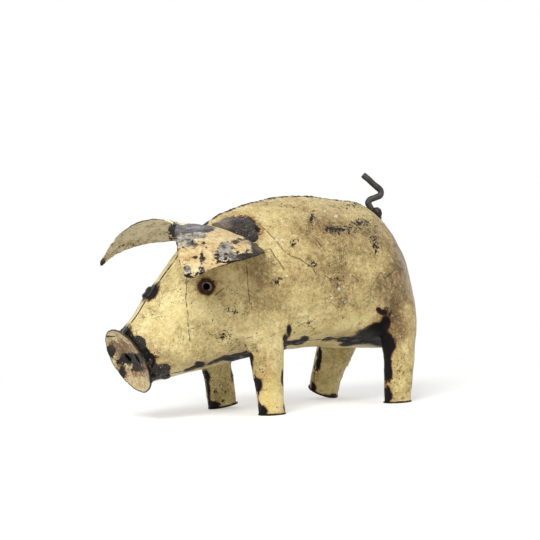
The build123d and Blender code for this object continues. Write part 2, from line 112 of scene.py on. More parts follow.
class Wire:
    """A value, colour or vector on its way through a finish; sums of wires become nodes."""

    def __init__(self, tree, socket=None):
        self.tree = tree
        self.socket = socket

    def node(self, kind, settings=None, sockets=None, out=0):
        """An output of a new node: its settings first, then the values or wires of its sockets."""
        node = self.tree.nodes.new("ShaderNode" + kind)
        for name, value in (settings or {}).items():
            if name == "stops":
                for spare in range(len(value) - len(node.color_ramp.elements)):
                    node.color_ramp.elements.new(1)
                for element, (stop, colour) in zip(node.color_ramp.elements, value):
                    element.position = stop
                    element.color = (*colour, 1)
            else:
                setattr(node, name, value)
        for name, value in (sockets or {}).items():
            socket = node.inputs[name]
            if isinstance(value, Wire):
                self.tree.links.new(value.socket, socket)
            else:
                socket.default_value = (*value, 1) if socket.type == "RGBA" else value
        return Wire(self.tree, node.outputs[out])

    def sum(self, operation, *terms):
        """A Math node for values, or a Vector Math node where a term is wider."""
        if not any(isinstance(term, tuple) or isinstance(term, Wire) and term.socket.type != "VALUE"
                   for term in terms):
            return self.node("Math", {"operation": operation}, dict(enumerate(terms)))
        terms = [(term,) * 3 if isinstance(term, (int, float)) else term for term in terms]
        out = 1 if operation in ("LENGTH", "DOT_PRODUCT", "DISTANCE") else 0
        return self.node("VectorMath", {"operation": operation}, dict(enumerate(terms)), out)

    def __add__(self, other):
        return self.sum("ADD", self, other)

    def __radd__(self, other):
        return self.sum("ADD", other, self)

    def __sub__(self, other):
        return self.sum("SUBTRACT", self, other)

    def __rsub__(self, other):
        return self.sum("SUBTRACT", other, self)

    def __mul__(self, other):
        return self.sum("MULTIPLY", self, other)

    def __rmul__(self, other):
        return self.sum("MULTIPLY", other, self)

    def __truediv__(self, other):
        return self.sum("DIVIDE", self, other)

    def most(self, other):
        """The larger of two values."""
        return self.sum("MAXIMUM", self, other)

    def least(self, other):
        """The smaller of two values."""
        return self.sum("MINIMUM", self, other)

    def step(self, low, high):
        """From 0 at low to 1 at high, softly; low may be the larger of the two."""
        return self.node("MapRange", {"interpolation_type": "SMOOTHSTEP"},
                         {"Value": self, "From Min": low, "From Max": high})

    def over(self, other, share):
        """Another colour laid over this one by a share."""
        return self.node("Mix", {"data_type": "RGBA"}, {0: share, 6: self, 7: other}, 2)

    def noise(self, size, detail=2.0, roughness=0.5, distortion=0.0):
        """Cloudy pattern from 0 to 1 at this place, with lumps of a size in millimetres."""
        return self.node("TexNoise", None, {"Vector": self, "Scale": 1 / size, "Detail": detail,
                                            "Roughness": roughness, "Distortion": distortion})

    def held(self, name):
        """A measure that was worked out for each point of the piece."""
        return self.node("Attribute", {"attribute_name": name}, None, 2)

    def dot(self, other):
        """How far this vector reaches along another."""
        return self.sum("DOT_PRODUCT", self, other)

    def ramp(self, *stops):
        """The colour that this value picks from stops, each a value and a colour."""
        return self.node("ValToRGB", {"stops": stops}, {0: self})


def shown_to_camera(start, plain, pale):
    """A plain shader for the light in the room, and a pale one for the camera and for gloss."""
    seen_rays = start.node("LightPath", None, None, 0).most(start.node("LightPath", None, None, 3))
    return start.node("MixShader", None, {0: seen_rays, 1: plain, 2: pale})


floor_reach = 6.0
floor_glow, room_light = 0.40, 0.36
# Between these distances from the middle, in metres, the floor turns into plain white paper.
paper_from, paper_to = 0.30, 0.75
floor_corners = [(floor_reach * x, floor_reach * y, 0) for x, y in ((-1, -1), (1, -1), (1, 1), (-1, 1))]
floor_mesh = bpy.data.meshes.new("floor")
floor_mesh.from_pydata(floor_corners, [], [(0, 1, 2, 3)])
floor = bpy.data.objects.new("floor", floor_mesh)
scene.collection.objects.link(floor)
floor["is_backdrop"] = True
floor_paint = bpy.data.materials.new("white_floor")
floor_paint.use_nodes = True
floor_tree = floor_paint.node_tree
floor_tree.nodes.remove(floor_tree.nodes["Principled BSDF"])
start = Wire(floor_tree)
white = start.node("BsdfDiffuse", None, {"Color": (0.80, 0.80, 0.79)})
glow = start.node("Emission", None, {"Color": (1, 1, 1), "Strength": floor_glow})
both = start.node("AddShader", None, {0: white, 1: glow})
paper = start.node("Emission", None, {"Color": (1, 1, 1), "Strength": 1.0})
floor_place = start.node("TexCoord", None, None, 3)
away = floor_place.sum("LENGTH", floor_place).step(paper_from, paper_to)
near_paper = start.node("MixShader", None, {0: away, 1: both, 2: paper})
shown = shown_to_camera(start, white, near_paper)
floor_tree.links.new(shown.socket, floor_tree.nodes["Material Output"].inputs["Surface"])
floor_mesh.materials.append(floor_paint)

world = bpy.data.worlds.new("studio")
scene.world = world
world.use_nodes = True
start = Wire(world.node_tree)
room = start.node("Background", None, {"Color": (1, 1, 1), "Strength": room_light})
backdrop = start.node("Background", None, {"Color": (1, 1, 1), "Strength": 1.0})
shown = shown_to_camera(start, room, backdrop)
world.node_tree.links.new(shown.socket, world.node_tree.nodes["World Output"].inputs["Surface"])


def lamp(name, place, size, power):
    """Large soft lamp that looks at the pig."""
    data = bpy.data.lights.new(name, "AREA")
    data.size = size
    data.energy = power
    light = bpy.data.objects.new(name, data)
    scene.collection.objects.link(light)
    light.location = place
    middle = Vector(placed(aim))
    light.rotation_euler = (middle - light.location).to_track_quat("-Z", "Y").to_euler()


lamp("key_lamp", (-0.95, -0.95, 1.25), 0.8, 21.0)
lamp("side_lamp", (0.9, -1.3, 0.7), 1.2, 4.0)
lamp("far_lamp", (0.2, 1.4, 1.0), 1.0, 6.0)

scene.view_settings.view_transform = "Standard"

# Skin of body and legs
# The real pig is old oil-drum sheet, hammered over a stake and butt-welded. The skin is one
# smooth closed form here, dented by the hammer, which is then cut along the real seams.
body_length, back_height, half_body = 362.0, 216.5, 66.0
sheet = 1.2
seam_gap = 0.6
forehead_half_width = 5.4
forehead_end = 105.0
# Each row is the place along the body, the ridge, the belly, the width and the ridge's flat.
body_station_shares = (
    (0.000, 0.309, 0.150, 0.258, 1.00), (0.055, 0.414, 0.162, 0.409, 1.00),
    (0.130, 0.569, 0.169, 0.545, 1.00), (0.229, 0.764, 0.194, 0.697, 1.00),
    (0.307, 0.873, 0.217, 0.803, 0.70), (0.400, 0.947, 0.240, 0.900, 0.20),
    (0.511, 0.991, 0.263, 0.975, 0.15), (0.644, 1.000, 0.273, 1.000, 0.15),
    (0.760, 0.977, 0.254, 0.985, 0.15), (0.848, 0.934, 0.247, 0.850, 0.15),
    (0.914, 0.818, 0.249, 0.540, 0.15), (0.964, 0.661, 0.259, 0.240, 0.12),
    (0.992, 0.476, 0.286, 0.068, 0.08), (1.000, 0.393, 0.323, 0.024, 0.06))
side_curve_shares = ((0.30, 0.075), (0.62, 0.190), (0.88, 0.360), (0.99, 0.520), (0.99, 0.620),
                     (0.93, 0.740), (0.78, 0.855), (0.60, 0.910))
belly_edge = (0.40, 0.945)
hip_height = 112.0
foot_width = 26.0
leg_height_shares = (-0.12, 0.00, 0.25, 0.42, 0.54, 0.76, 1.00)
leg_lean_shares = (-0.10, 0.00, 0.28, 0.57, 0.70, 0.89, 1.00)
leg_width_shares = (1.00, 1.00, 1.04, 1.09, 1.17, 1.27, 1.35)
front_tuck_shares = (0.00, 0.00, 0.02, 0.06, 0.115, 0.27, 0.52)
hind_tuck_shares = (0.00, 0.00, 0.02, 0.07, 0.14, 0.36, 0.85)
# Where each foot stands, its length along the body, how far the leg leans back at the hip, the
# slope of its sole both ways in degrees, how it tucks inward and how it widens upward.
legs = {
    "front_left": {"x": front_left_foot[0], "y": front_left_foot[1], "length": 27.4, "lean": -3.0,
                   "pitch": 0.0, "cant": 0.0, "tuck": front_tuck_shares,
                   "flare": (1.00, 1.00, 1.07, 1.22, 1.38, 1.95, 2.40)},
    "front_right": {"x": 147.2, "y": 51.0, "length": 32.0, "lean": -12.0, "pitch": 8.0, "cant": 0.0,
                    "tuck": front_tuck_shares, "flare": (1.00, 1.00, 1.03, 1.10, 1.35, 1.80, 2.20)},
    "hind_left": {"x": 294.9, "y": -52.5, "length": 30.0, "lean": 11.0, "pitch": 0.0, "cant": 0.0,
                  "tuck": hind_tuck_shares, "flare": (1.00, 1.00, 1.08, 1.20, 1.30, 1.50, 1.70)},
    "hind_right": {"x": 271.5, "y": 55.5, "length": 36.0, "lean": 30.0, "pitch": -13.0, "cant": 26.0,
                   "tuck": hind_tuck_shares, "flare": (1.00, 1.00, 1.14, 1.32, 1.42, 1.55, 1.65)}}
snout_centre = np.array((21.9, 0, 58.0))
snout_tilt, snout_yaw = math.radians(25.8), math.radians(5.0)
snout_side = np.array((-math.sin(snout_yaw), math.cos(snout_yaw), 0))
snout_forward = -np.array((math.cos(snout_tilt) * math.cos(snout_yaw),
                           math.cos(snout_tilt) * math.sin(snout_yaw), math.sin(snout_tilt)))
snout_up = np.cross(snout_side, snout_forward)
snout_radius, snout_hollow = 34.5, 7.0
eye_place, eye_hole_radius = (88.5, 126.0), 3.4
skin_grain, skin_smoothing = 1.7, 4
# Width and depth of the dents, the share of the sheet between them and the most that it bulges.
dents, undented_share, highest_bulge = ((30, 1.1), (13, 0.5)), 0.35, 0.25
side_points, belly_points, body_rings, leg_rings, leg_round = 70, 12, 240, 60, 64


def curve(knots, values, at):
    """Smooth curve through values at their knots, read at other places."""
    knots, values, at = np.asarray(knots, float), np.asarray(values, float), np.asarray(at, float)
    spans, count = np.diff(knots), len(knots)
    slopes = (np.diff(values, axis=0).T / spans).T
    matrix, bends = np.eye(count), np.zeros(values.shape)
    for i in range(1, count - 1):
        matrix[i, i - 1:i + 2] = spans[i - 1], 2 * (spans[i - 1] + spans[i]), spans[i]
        bends[i] = 6 * (slopes[i] - slopes[i - 1])
    bends = np.linalg.solve(matrix, bends)
    i = np.clip(np.searchsorted(knots, at) - 1, 0, count - 2)
    shape = (-1,) + (1,) * (values.ndim - 1)
    span, past = spans[i].reshape(shape), (at - knots[i]).reshape(shape)
    ahead = span - past
    return ((bends[i] * ahead ** 3 + bends[i + 1] * past ** 3) / (6 * span)
            + (values[i] / span - bends[i] * span / 6) * ahead
            + (values[i + 1] / span - bends[i + 1] * span / 6) * past)


def station_sizes(x):
    """Ridge, belly, half width and half ridge flat at places along the body."""
    table = np.array(body_station_shares)
    ridge, belly, width, flat = curve(table[:, 0] * body_length, table[:, 1:], np.atleast_1d(x)).T
    half_width = width * half_body
    half_flat = np.minimum(flat * forehead_half_width, half_width / 2)
    return ridge * back_height, belly * back_height, half_width, half_flat


def tube_faces(rings, round_count):
    """Faces of a closed tube of rings, with a fan at each end."""
    faces = []
    for ring in range(rings - 1):
        for step in range(round_count):
            after = (step + 1) % round_count
            faces.append((ring * round_count + step, ring * round_count + after,
                          (ring + 1) * round_count + after, (ring + 1) * round_count + step))
    faces.append(tuple(range(round_count))[::-1])
    faces.append(tuple(range((rings - 1) * round_count, rings * round_count)))
    return faces


def body_tube():
    """Points and faces of the closed body and head."""
    points = ((0, 0),) + side_curve_shares + (belly_edge,)
    spans = [math.dist((a[0] * half_body, a[1] * back_height), (b[0] * half_body, b[1] * back_height))
             for a, b in zip(points, points[1:])]
    knots = np.concatenate(([0], np.cumsum(spans)))
    outs, falls = curve(knots, np.array(points), np.linspace(0, knots[-1], side_points)).T
    xs = body_length * (1 - np.cos(np.linspace(0, math.pi, body_rings))) / 2
    top, bottom, half_width, half_flat = (sizes[:, None] for sizes in station_sizes(xs))
    reach, depth = half_width - half_flat, top - bottom
    side_y = half_flat + reach * outs
    side_z = top - depth * falls
    belly = np.linspace(0, 1, belly_points)[1:]
    belly_y = side_y[:, -1:] * (1 - belly)
    belly_z = bottom + (side_z[:, -1:] - bottom) * (1 - belly) ** 2
    half_y, half_z = np.hstack((side_y, belly_y)), np.hstack((side_z, belly_z))
    y = np.hstack((half_y, -half_y[:, -2::-1]))
    z = np.hstack((half_z, half_z[:, -2::-1]))
    x = np.repeat(xs[:, None], y.shape[1], axis=1)
    return np.stack((x, y, z), -1).reshape(-1, 3), tube_faces(len(xs), y.shape[1])


def leg_tube(leg):
    """Points and faces of one closed leg, from below the floor to inside the body."""
    side = math.copysign(1, leg["y"])
    table = np.array((leg_lean_shares, leg["tuck"], leg["flare"], leg_width_shares)).T
    shares = np.linspace(leg_height_shares[0], leg_height_shares[-1], leg_rings)
    lean, tuck, flare, width = curve(leg_height_shares, table, shares).T
    angle = np.linspace(0, math.tau, leg_round, endpoint=False)
    x = (leg["x"] + leg["lean"] * lean)[:, None] + np.outer(leg["length"] / 2 * flare, np.cos(angle))
    y = (leg["y"] - side * foot_width * tuck)[:, None] + np.outer(foot_width / 2 * width, np.sin(angle))
    z = np.repeat(shares[:, None] * hip_height, len(angle), axis=1)
    return np.stack((x, y, z), -1).reshape(-1, 3), tube_faces(len(shares), len(angle))


def mesh_of(name, points, faces):
    """Mesh of points in millimetres."""
    mesh = bpy.data.meshes.new(name)
    mesh.from_pydata(placed(points).tolist(), [], faces)
    mesh.validate()
    return mesh


def arrays(mesh):
    """Points in millimetres, normals, and faces as lists of corners."""
    flat = np.empty(len(mesh.vertices) * 3)
    mesh.vertices.foreach_get("co", flat)
    points = flat.reshape(-1, 3) * 1000 - shift
    normals = np.empty(len(mesh.vertices) * 3, np.float32)
    mesh.vertex_normals.foreach_get("vector", normals)
    return points, normals.reshape(-1, 3), [tuple(face.vertices) for face in mesh.polygons]


def remeshed(parts, grain, smoothing):
    """Overlapping closed forms as one skin of small even faces, then smoothed."""
    points, faces = [], []
    for part_points, part_faces in parts:
        start_index = sum(len(group) for group in points)
        points.append(np.asarray(part_points))
        faces += [tuple(corner + start_index for corner in face) for face in part_faces]
    piece = bpy.data.objects.new("blank", mesh_of("blank", np.concatenate(points), faces))
    scene.collection.objects.link(piece)
    remesh = piece.modifiers.new("remesh", "REMESH")
    remesh.mode = "VOXEL"
    remesh.voxel_size = grain / 1000
    piece.modifiers.new("smooth", "SMOOTH").iterations = smoothing
    finished = piece.evaluated_get(bpy.context.evaluated_depsgraph_get())
    result = arrays(bpy.data.meshes.new_from_object(finished))
    bpy.data.objects.remove(piece)
    return result


def lumps(points, size, seed):
    """Smooth unevenness from -1 to 1 at points, with lumps of a size in millimetres."""
    offset = Vector((seed, seed * 1.7, seed * 0.3))
    return np.array([noise.noise(Vector(point) / size + offset) for point in points])


def distance_to(part, points):
    """Distance of points from the surface of a form."""
    tree = BVHTree.FromPolygons([tuple(point) for point in part[0]], part[1])
    return np.array([tree.find_nearest(point)[3] for point in points])


def snout_depth(points):
    """How far points lie behind the rim of the snout disc, and how deep its hollow is there."""
    offset = points - snout_centre
    depth = -offset @ snout_forward
    out = np.linalg.norm(offset + np.outer(depth, snout_forward), axis=1)
    return depth, snout_hollow * np.clip(1 - (out / snout_radius) ** 2, 0, 1)


body_form = body_tube()
leg_forms = {name: leg_tube(leg) for name, leg in legs.items()}
skin_points, skin_normals, skin_faces = remeshed([body_form, *leg_forms.values()], skin_grain, skin_smoothing)
from_body = distance_to(body_form, skin_points)
inward = sum(depth * (lumps(skin_points, size, seed) - undented_share)
             for seed, (size, depth) in enumerate(dents))
skin_points = skin_points + skin_normals * np.minimum(inward, highest_bulge)[:, None]
x, y, z = skin_points.T

# Seams
# The sheets meet edge to edge with a hair of a gap. Each field is how far a point of the skin
# lies inside the edges of a sheet, in millimetres, below zero outside it.
snout_seat, leg_reach = 2.3, 4.0
ridge, belly_low, half_width, half_flat = station_sizes(np.clip(x, 0, body_length))
middle = (ridge + belly_low) / 2
belly_edge_y = half_flat + (half_width - half_flat) * belly_edge[0]
# The skin ends a little behind the snout disc, at the eye holes and on the soles.
snout_back, hollow = snout_depth(skin_points)
kept_skin = snout_back - hollow - snout_seat
from_eye = np.hypot(x - eye_place[0], z - eye_place[1]) - eye_hole_radius
kept_skin = np.minimum(kept_skin, np.where(z > middle, from_eye, eye_hole_radius))
forehead_field = np.minimum(np.minimum(forehead_half_width - np.abs(y), forehead_end - x), z - middle)
belly_field = np.minimum(np.minimum(belly_edge_y - np.abs(y), middle - z), skin_grain - from_body)
fields = {"forehead_strip": forehead_field, "belly_strip": belly_field}
for name, leg in legs.items():
    side = math.copysign(1, leg["y"])
    slope, cross_slope = math.tan(math.radians(leg["pitch"])), math.tan(math.radians(leg["cant"]))
    sole_up = np.array((-slope, -cross_slope, 1)) / math.hypot(1, slope, cross_slope)
    lift = math.hypot(slope * leg["length"] / 2, cross_slope * foot_width / 2)
    above_sole = (skin_points - (leg["x"], leg["y"], lift)) @ sole_up - sheet
    on_leg = distance_to(leg_forms[name], skin_points) < leg_reach
    seam_out = np.array((0, side * hip_height * leg_height_shares[-2], foot_width * leg["tuck"][-2]))
    outside_seam = (skin_points - (leg["x"], leg["y"], 0)) @ seam_out / np.linalg.norm(seam_out)
    inner = np.minimum(from_body - skin_grain - seam_gap, -outside_seam - seam_gap / 2)
    inner = np.where(on_leg & (z < hip_height), np.minimum(inner, above_sole), -leg_reach)
    fields[name + "_leg_inner"] = inner
    kept_skin = np.where(on_leg & (z < hip_height / 2), np.minimum(kept_skin, above_sole), kept_skin)
fields = {node: np.minimum(field, kept_skin) for node, field in fields.items()}
others = np.max([np.where(kept_skin > 0, field, -leg_reach) for field in fields.values()], axis=0)
fields["left_side_panel"] = np.minimum(np.minimum(-y - seam_gap / 2, -others - seam_gap), kept_skin)
fields["right_side_panel"] = np.minimum(np.minimum(y - seam_gap / 2, -others - seam_gap), kept_skin)


def cut_out(field):
    """Part of the skin where a field is above zero, cut along its zero line, and the field there."""
    values = [float(value) for value in field]
    points = [tuple(point) for point in skin_points]
    new_number, kept_points, kept_values, kept_faces = {}, [], [], []

    def numbered(key, point, value):
        if key not in new_number:
            new_number[key] = len(kept_points)
            kept_points.append(point)
            kept_values.append(value)
        return new_number[key]

    for face in skin_faces:
        inside = [values[corner] > 0 for corner in face]
        if not any(inside):
            continue
        outline = []
        for here, after in zip(face, face[1:] + face[:1]):
            if values[here] > 0:
                outline.append(numbered(here, points[here], values[here]))
            if (values[here] > 0) != (values[after] > 0):
                low, high = min(here, after), max(here, after)
                share = values[low] / (values[low] - values[high])
                point = tuple(a + (b - a) * share for a, b in zip(points[low], points[high]))
                outline.append(numbered((low, high), point, 0.0))
        if len(outline) > 2:
            kept_faces.append(tuple(outline))
    return np.array(kept_points), kept_faces, np.array(kept_values)


# Sheets of head, body and legs
# Drum sheet in its old cream enamel, yellowed, stained and crazed, with dark chips down to the
# Next to a weld it is scorched: black, then brown and orange, then clean again. Shade is painted into its
# stains, and a highlight along the edges of each sheet.


def new_finish(name, shine=0.14):
    """A new finish: its material, its shader and the place on the piece in millimetres."""
    material = bpy.data.materials.new(name)
    material.use_nodes = True
    shader = material.node_tree.nodes["Principled BSDF"]
    shader.inputs["Specular IOR Level"].default_value = shine
    return material, shader, Wire(material.node_tree).node("TexCoord", None, None, 3) * 1000


def feed(shader, colour, roughness, height, depth, metal=None):
    """Join a finish's colour, roughness and relief, in millimetres, to its shader."""
    bump = height.node("Bump", None, {"Height": height, "Distance": depth / 1000, "Strength": 1.0})
    joined = {"Base Color": colour, "Roughness": roughness, "Normal": bump, "Metallic": metal}
    for name, wire in joined.items():
        if wire is not None:
            wire.tree.links.new(wire.socket, shader.inputs[name])


def tone(red, green, blue):
    """A colour read off the photograph, 0 to 255, as the linear colour of a finish."""
    return tuple((part / 255 / 12.92) if part < 11 else ((part / 255 + 0.055) / 1.055) ** 2.4
                 for part in (red, green, blue))


soot, umber, rust, amber = tone(14, 11, 10), tone(58, 38, 24), tone(124, 78, 40), tone(190, 148, 86)


def seen(points, mirrored):
    """Pixels of the photograph at which points lie; a mirrored piece is read as the near one."""
    near = np.array(points, float)
    if mirrored:
        near[:, 1] = -np.abs(near[:, 1])
    ray = near - eye
    depth = -(ray @ np.array(back)) / pixels_per_mm / distance
    return aim_pixel[0] + ray @ np.array(right) / depth, aim_pixel[1] - ray @ np.array(up) / depth


def marked(points, marks, mirrored=False):
    """How strongly points are marked by soft spots, each a pixel, two radii and a strength."""
    u, v = seen(points, mirrored)
    total = np.zeros(len(points))
    for spot_u, spot_v, wide, high, strength in marks:
        total += strength * np.exp(-((u - spot_u) / wide) ** 2 - ((v - spot_v) / high) ** 2)
    return total


def node_mesh(node):
    """Points and faces of a CAD node, with its corners joined."""
    points, _, faces = arrays(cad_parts[node].data)
    keys, number = np.unique(np.round(points, 3), axis=0, return_inverse=True)
    number = number.reshape(-1)
    joined = [tuple(int(number[corner]) for corner in face) for face in faces]
    return keys, [face for face in joined if len(set(face)) > 2]


# Reach of the scorch round the welds of each kind, in millimetres.
halo_of_weld = {"spine": 3.5, "forehead": 9.0, "jaw": 5.0, "belly": 4.0, "leg": 1.8, "ear": 1.2,
                "snout": 7.0, "tail": 8.0}
# Far from the welds a burn stands at its limit, where the paint is clean. Spots of soot, and the
# front end of the head so far back from the disc, take off from it.
burn_limit, scorch_strength, scorch_limit = 1.15, 1.7, 1.25
front_burn, front_reach = 1.6, 13.0
weld_nodes = sorted(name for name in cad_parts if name.endswith("_weld"))
weld_points = {}
for node in weld_nodes:
    weld_points.setdefault(node.split("_")[-2], []).append(node_mesh(node)[0])
weld_trees = {}
for kind, groups in weld_points.items():
    cloud = np.concatenate(groups)
    tree = KDTree(len(cloud))
    for index, point in enumerate(cloud):
        tree.insert(point, index)
    tree.balance()
    weld_trees[kind] = tree

# Soft spots on the sheets, each the pixel, the two radii and the strength: stains with painted shade in
# them, chips, white flecks, yellowed paint and soot, below zero where the paint is cleaner and painted
# lighter.
grime_and_shade_marks = (
    (397, 295, 22, 50, 0.35), (372, 238, 22, 20, 0.35), (330, 270, 45, 30, 0.22), (300, 208, 60, 9, 0.12),
    (345, 300, 30, 18, 0.20), (205, 245, 18, 14, 0.15), (404, 255, 14, 30, 0.30), (392, 322, 14, 10, 0.2),
    (310, 225, 26, 10, 0.25), (268, 282, 12, 14, 0.25), (222, 385, 22, 34, 0.04), (360, 335, 36, 6, 0.3),
    (258, 270, 14, 12, 0.2), (280, 310, 20, 18, 0.15), (262, 372, 12, 16, 0.15),
    (268, 398, 12, 18, -0.25), (330, 232, 50, 14, 0.22), (300, 255, 40, 24, 0.10),
    (170, 300, 18, 22, -0.25), (165, 345, 30, 16, -0.14), (330, 325, 50, 10, -0.14),
    (150, 330, 16, 14, -0.10), (275, 215, 14, 8, -0.2), (200, 310, 16, 12, -0.15))
chip_marks = (
    (312, 219, 4, 7, 1.1), (337, 230, 15, 4.5, 1.1), (361, 223, 12, 6, 1.0), (375, 247, 5, 14, 1.0),
    (294, 244, 4, 5, 1.1), (313, 265, 4, 5, 1.0), (276, 281, 7, 5, 1.0), (288, 206, 12, 3, 0.5),
    (262, 203, 10, 3, 0.5), (335, 280, 12, 6, 0.5), (388, 315, 7, 9, 0.9), (340, 300, 16, 8, 0.5),
    (235, 312, 14, 5, 0.5), (266, 376, 8, 20, 0.5), (400, 370, 8, 20, 0.5), (222, 336, 14, 6, 0.7),
    (232, 350, 8, 5, 0.6), (222, 385, 16, 20, 0.35), (310, 325, 8, 8, 0.6), (190, 300, 5, 5, 0.4),
    (232, 292, 5, 6, 0.5), (355, 205, 20, 4, 0.7))
fleck_marks = (
    (336, 216, 1.6, 1.4, 1.4), (276, 240, 1.3, 1.2, 1.3), (282, 240, 1.2, 1.2, 1.2),
    (278, 248, 1.4, 1.2, 1.1), (287, 276, 1.6, 1.2, 1.2), (339, 289, 1.3, 2, 1.3),
    (332, 298, 1.3, 1.3, 1.2), (345, 302, 1.2, 1.4, 1.0), (372, 300, 1.3, 1.5, 1.0),
    (325, 211, 1.3, 1.2, 1.0))
gold_marks = (
    (266, 396, 13, 26, 1.0), (330, 326, 40, 8, 0.5), (404, 380, 10, 22, 0.35), (344, 355, 10, 12, 0.6),
    (160, 320, 26, 22, 0.3), (318, 375, 12, 16, 0.4))
scorch_marks = (
    (289, 330, 2.2, 6, 1.0), (285, 338, 2, 3, 0.9), (290, 343, 5, 1.8, 1.0), (298, 342.5, 5, 2.4, 1.0),
    (305, 338.5, 4, 2.2, 1.0), (378, 329, 8, 6, 1.2), (368, 336, 11, 6, 1.1), (353, 341, 11, 3.6, 1.1),
    (380, 341, 9, 5, 1.2), (345, 345, 6, 1.6, 0.8), (386, 322, 4, 6, 1.0), (383, 312, 5, 3, 0.8),
    (378, 309, 2, 2, 0.9), (389, 345, 6, 9, 1.0), (387, 362, 4, 8, 0.9), (388, 373, 4, 7, 1.0),
    (387, 396, 4.5, 9, 1.1), (412, 402, 3, 2, 0.8), (248, 358, 5, 5, 1.0), (257, 385, 4.5, 6, 1.2),
    (262, 411, 5, 5, 1.2), (250, 365, 2, 10, 0.7), (284, 378, 2.6, 8, 1.1), (285, 348, 1.4, 10, 0.7),
    (285, 408, 2, 5, 0.7), (318, 358, 3.5, 10, 0.9), (312, 389, 4, 6, 1.1), (322, 397, 9, 2.6, 1.0),
    (334, 397, 4, 3, 0.9), (235, 359, 7, 2.4, 1.1), (205, 377, 4, 6, 1.1), (214, 406, 6, 4, 1.1),
    (233, 372, 2.5, 12, 0.6), (208, 392, 2.5, 10, 0.7), (200, 364.5, 5, 3, 1.0), (227, 358, 6, 2.6, 1.0),
    (206.5, 286.5, 8.4, 8.4, 0.9), (262, 244, 5, 5, -0.5), (239, 230, 19, 13, 1.0),
    (221, 217, 7, 3, -0.5), (235, 215, 7, 2.5, -0.4), (162, 371, 7, 6, 1.0), (147, 360, 3, 8, 0.8),
    (155, 357, 7, 4, 0.35), (416, 345, 1.2, 20, 0.4), (121, 325, 3, 5, 0.8), (150, 291, 4, 5, 0.8))


def wear(points, mirrored):
    """How near points of a sheet are to the heat of a weld, and how strongly they are marked."""
    kinds = [(weld_trees[kind], halo) for kind, halo in halo_of_weld.items()]
    burn = np.array([min(tree.find(point)[2] / halo for tree, halo in kinds) for point in points])
    spots = scorch_strength * marked(points, scorch_marks, mirrored)
    burn = np.minimum(burn, burn_limit) - np.minimum(spots, scorch_limit)
    burn -= front_burn * np.clip(1 - snout_depth(points)[0] / front_reach, 0, 1)
    marks = {"grime": grime_and_shade_marks, "chips": chip_marks, "fleck": fleck_marks, "gold": gold_marks}
    return {"burn": burn, **{name: marked(points, rows, mirrored) for name, rows in marks.items()}}


def made_piece(node, points, faces, finish, slot, thickness=0.0, **measures):
    """A visible piece that stands for a CAD node, held inside the CAD's box, with its measures."""
    low, high = (np.array(corner) * 1000 - shift for corner in cad_box)
    mesh = mesh_of(node + "_form", np.clip(points, low, high), faces)
    for name, measure in measures.items():
        values = np.full(len(points), measure, np.float32)
        mesh.attributes.new(name, "FLOAT", "POINT").data.foreach_set("value", values)
    mesh.materials.append(finish)
    mesh.shade_smooth()
    piece = bpy.data.objects.new(node + "_piece", mesh)
    scene.collection.objects.link(piece)
    if thickness:
        solid = piece.modifiers.new("sheet", "SOLIDIFY")
        solid.thickness = thickness / 1000
        solid.offset = -1
    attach(piece, "root")
    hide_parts(node)


def scorched(colour, place):
    """A colour burnt where a weld is near: soot, then umber, rust and amber; and where it is charred."""
    heat = place.held("burn") + (place.noise(9, 4, 0.6) - 0.5) * 0.9 + (place.noise(2.6, 4, 0.8) - 0.5) * 1.1
    burnt = heat.ramp((0.0, soot), (0.26, soot), (0.44, umber), (0.64, rust), (0.9, amber))
    return colour.over(burnt, heat.step(0.95, 0.5)), heat.step(0.42, 0.22)


def pixel_of(place):
    """The photograph's pixel at a place of a piece, as a vector."""
    ray = place - tuple(float(part) for part in eye + shift)
    depth = ray.dot(tuple(-back))
    zoom = pixels_per_mm * distance
    across = ray.dot(tuple(right)) / depth * zoom + aim_pixel[0]
    downward = aim_pixel[1] - ray.dot(tuple(up)) / depth * zoom
    return place.node("CombineXYZ", None, {0: across, 1: downward})


def from_line(pixel, line):
    """Distance in pixels from a dark line drawn through a few pixels of the photograph."""
    nearest = None
    for start, end in zip(line, line[1:]):
        run = (end[0] - start[0], end[1] - start[1], 0)
        offset = pixel - (*start, 0)
        along = (offset.dot(run) / (run[0] ** 2 + run[1] ** 2)).most(0).least(1)
        foot = along.node("VectorMath", {"operation": "SCALE"}, {0: run, "Scale": along})
        gap = offset.sum("DISTANCE", offset, foot)
        nearest = gap if nearest is None else nearest.least(gap)
    return nearest


# Scratches through a few pixels of the photograph each; the first line is painted shade along the crease
# above the front leg.
scratch_and_crease_lines = (
    ((247, 265), (248, 285), (250, 305)), ((187, 268), (186, 300), (190, 340)),
    ((258, 223), (275, 239), (286, 253), (301, 260), (313, 268), (316, 274)),
    ((270, 249), (280, 263), (284, 270)), ((381, 272), (372, 287)),
    ((381, 272), (385, 278), (391, 274), (396, 268)), ((325, 276), (333, 280), (337, 288)),
    ((352, 275), (361, 283)), ((316, 239), (325, 251)), ((196, 272), (188, 282)), ((215, 296), (224, 288)))


def streaks(place, degrees, length, width, cover):
    """Fine scratches that run one way over the sides, from 0 to 1."""
    lean = math.radians(degrees)
    along = place.dot((math.cos(lean) / length, 0, math.sin(lean) / length))
    across = place.dot((-math.sin(lean) / width, 0, math.cos(lean) / width))
    through = place.dot((0, 1 / length, 0))
    spot = place.node("CombineXYZ", None, {0: along, 1: across, 2: through})
    return spot.noise(1, 1.0).step(cover, cover + 0.05)


def wobbled(place, size, reach):
    """A place moved a little, smoothly and at random."""
    drift = place.node("TexNoise", None, {"Vector": place, "Scale": 1 / size, "Detail": 2.0}, 1)
    return place + (drift - 0.5) * reach


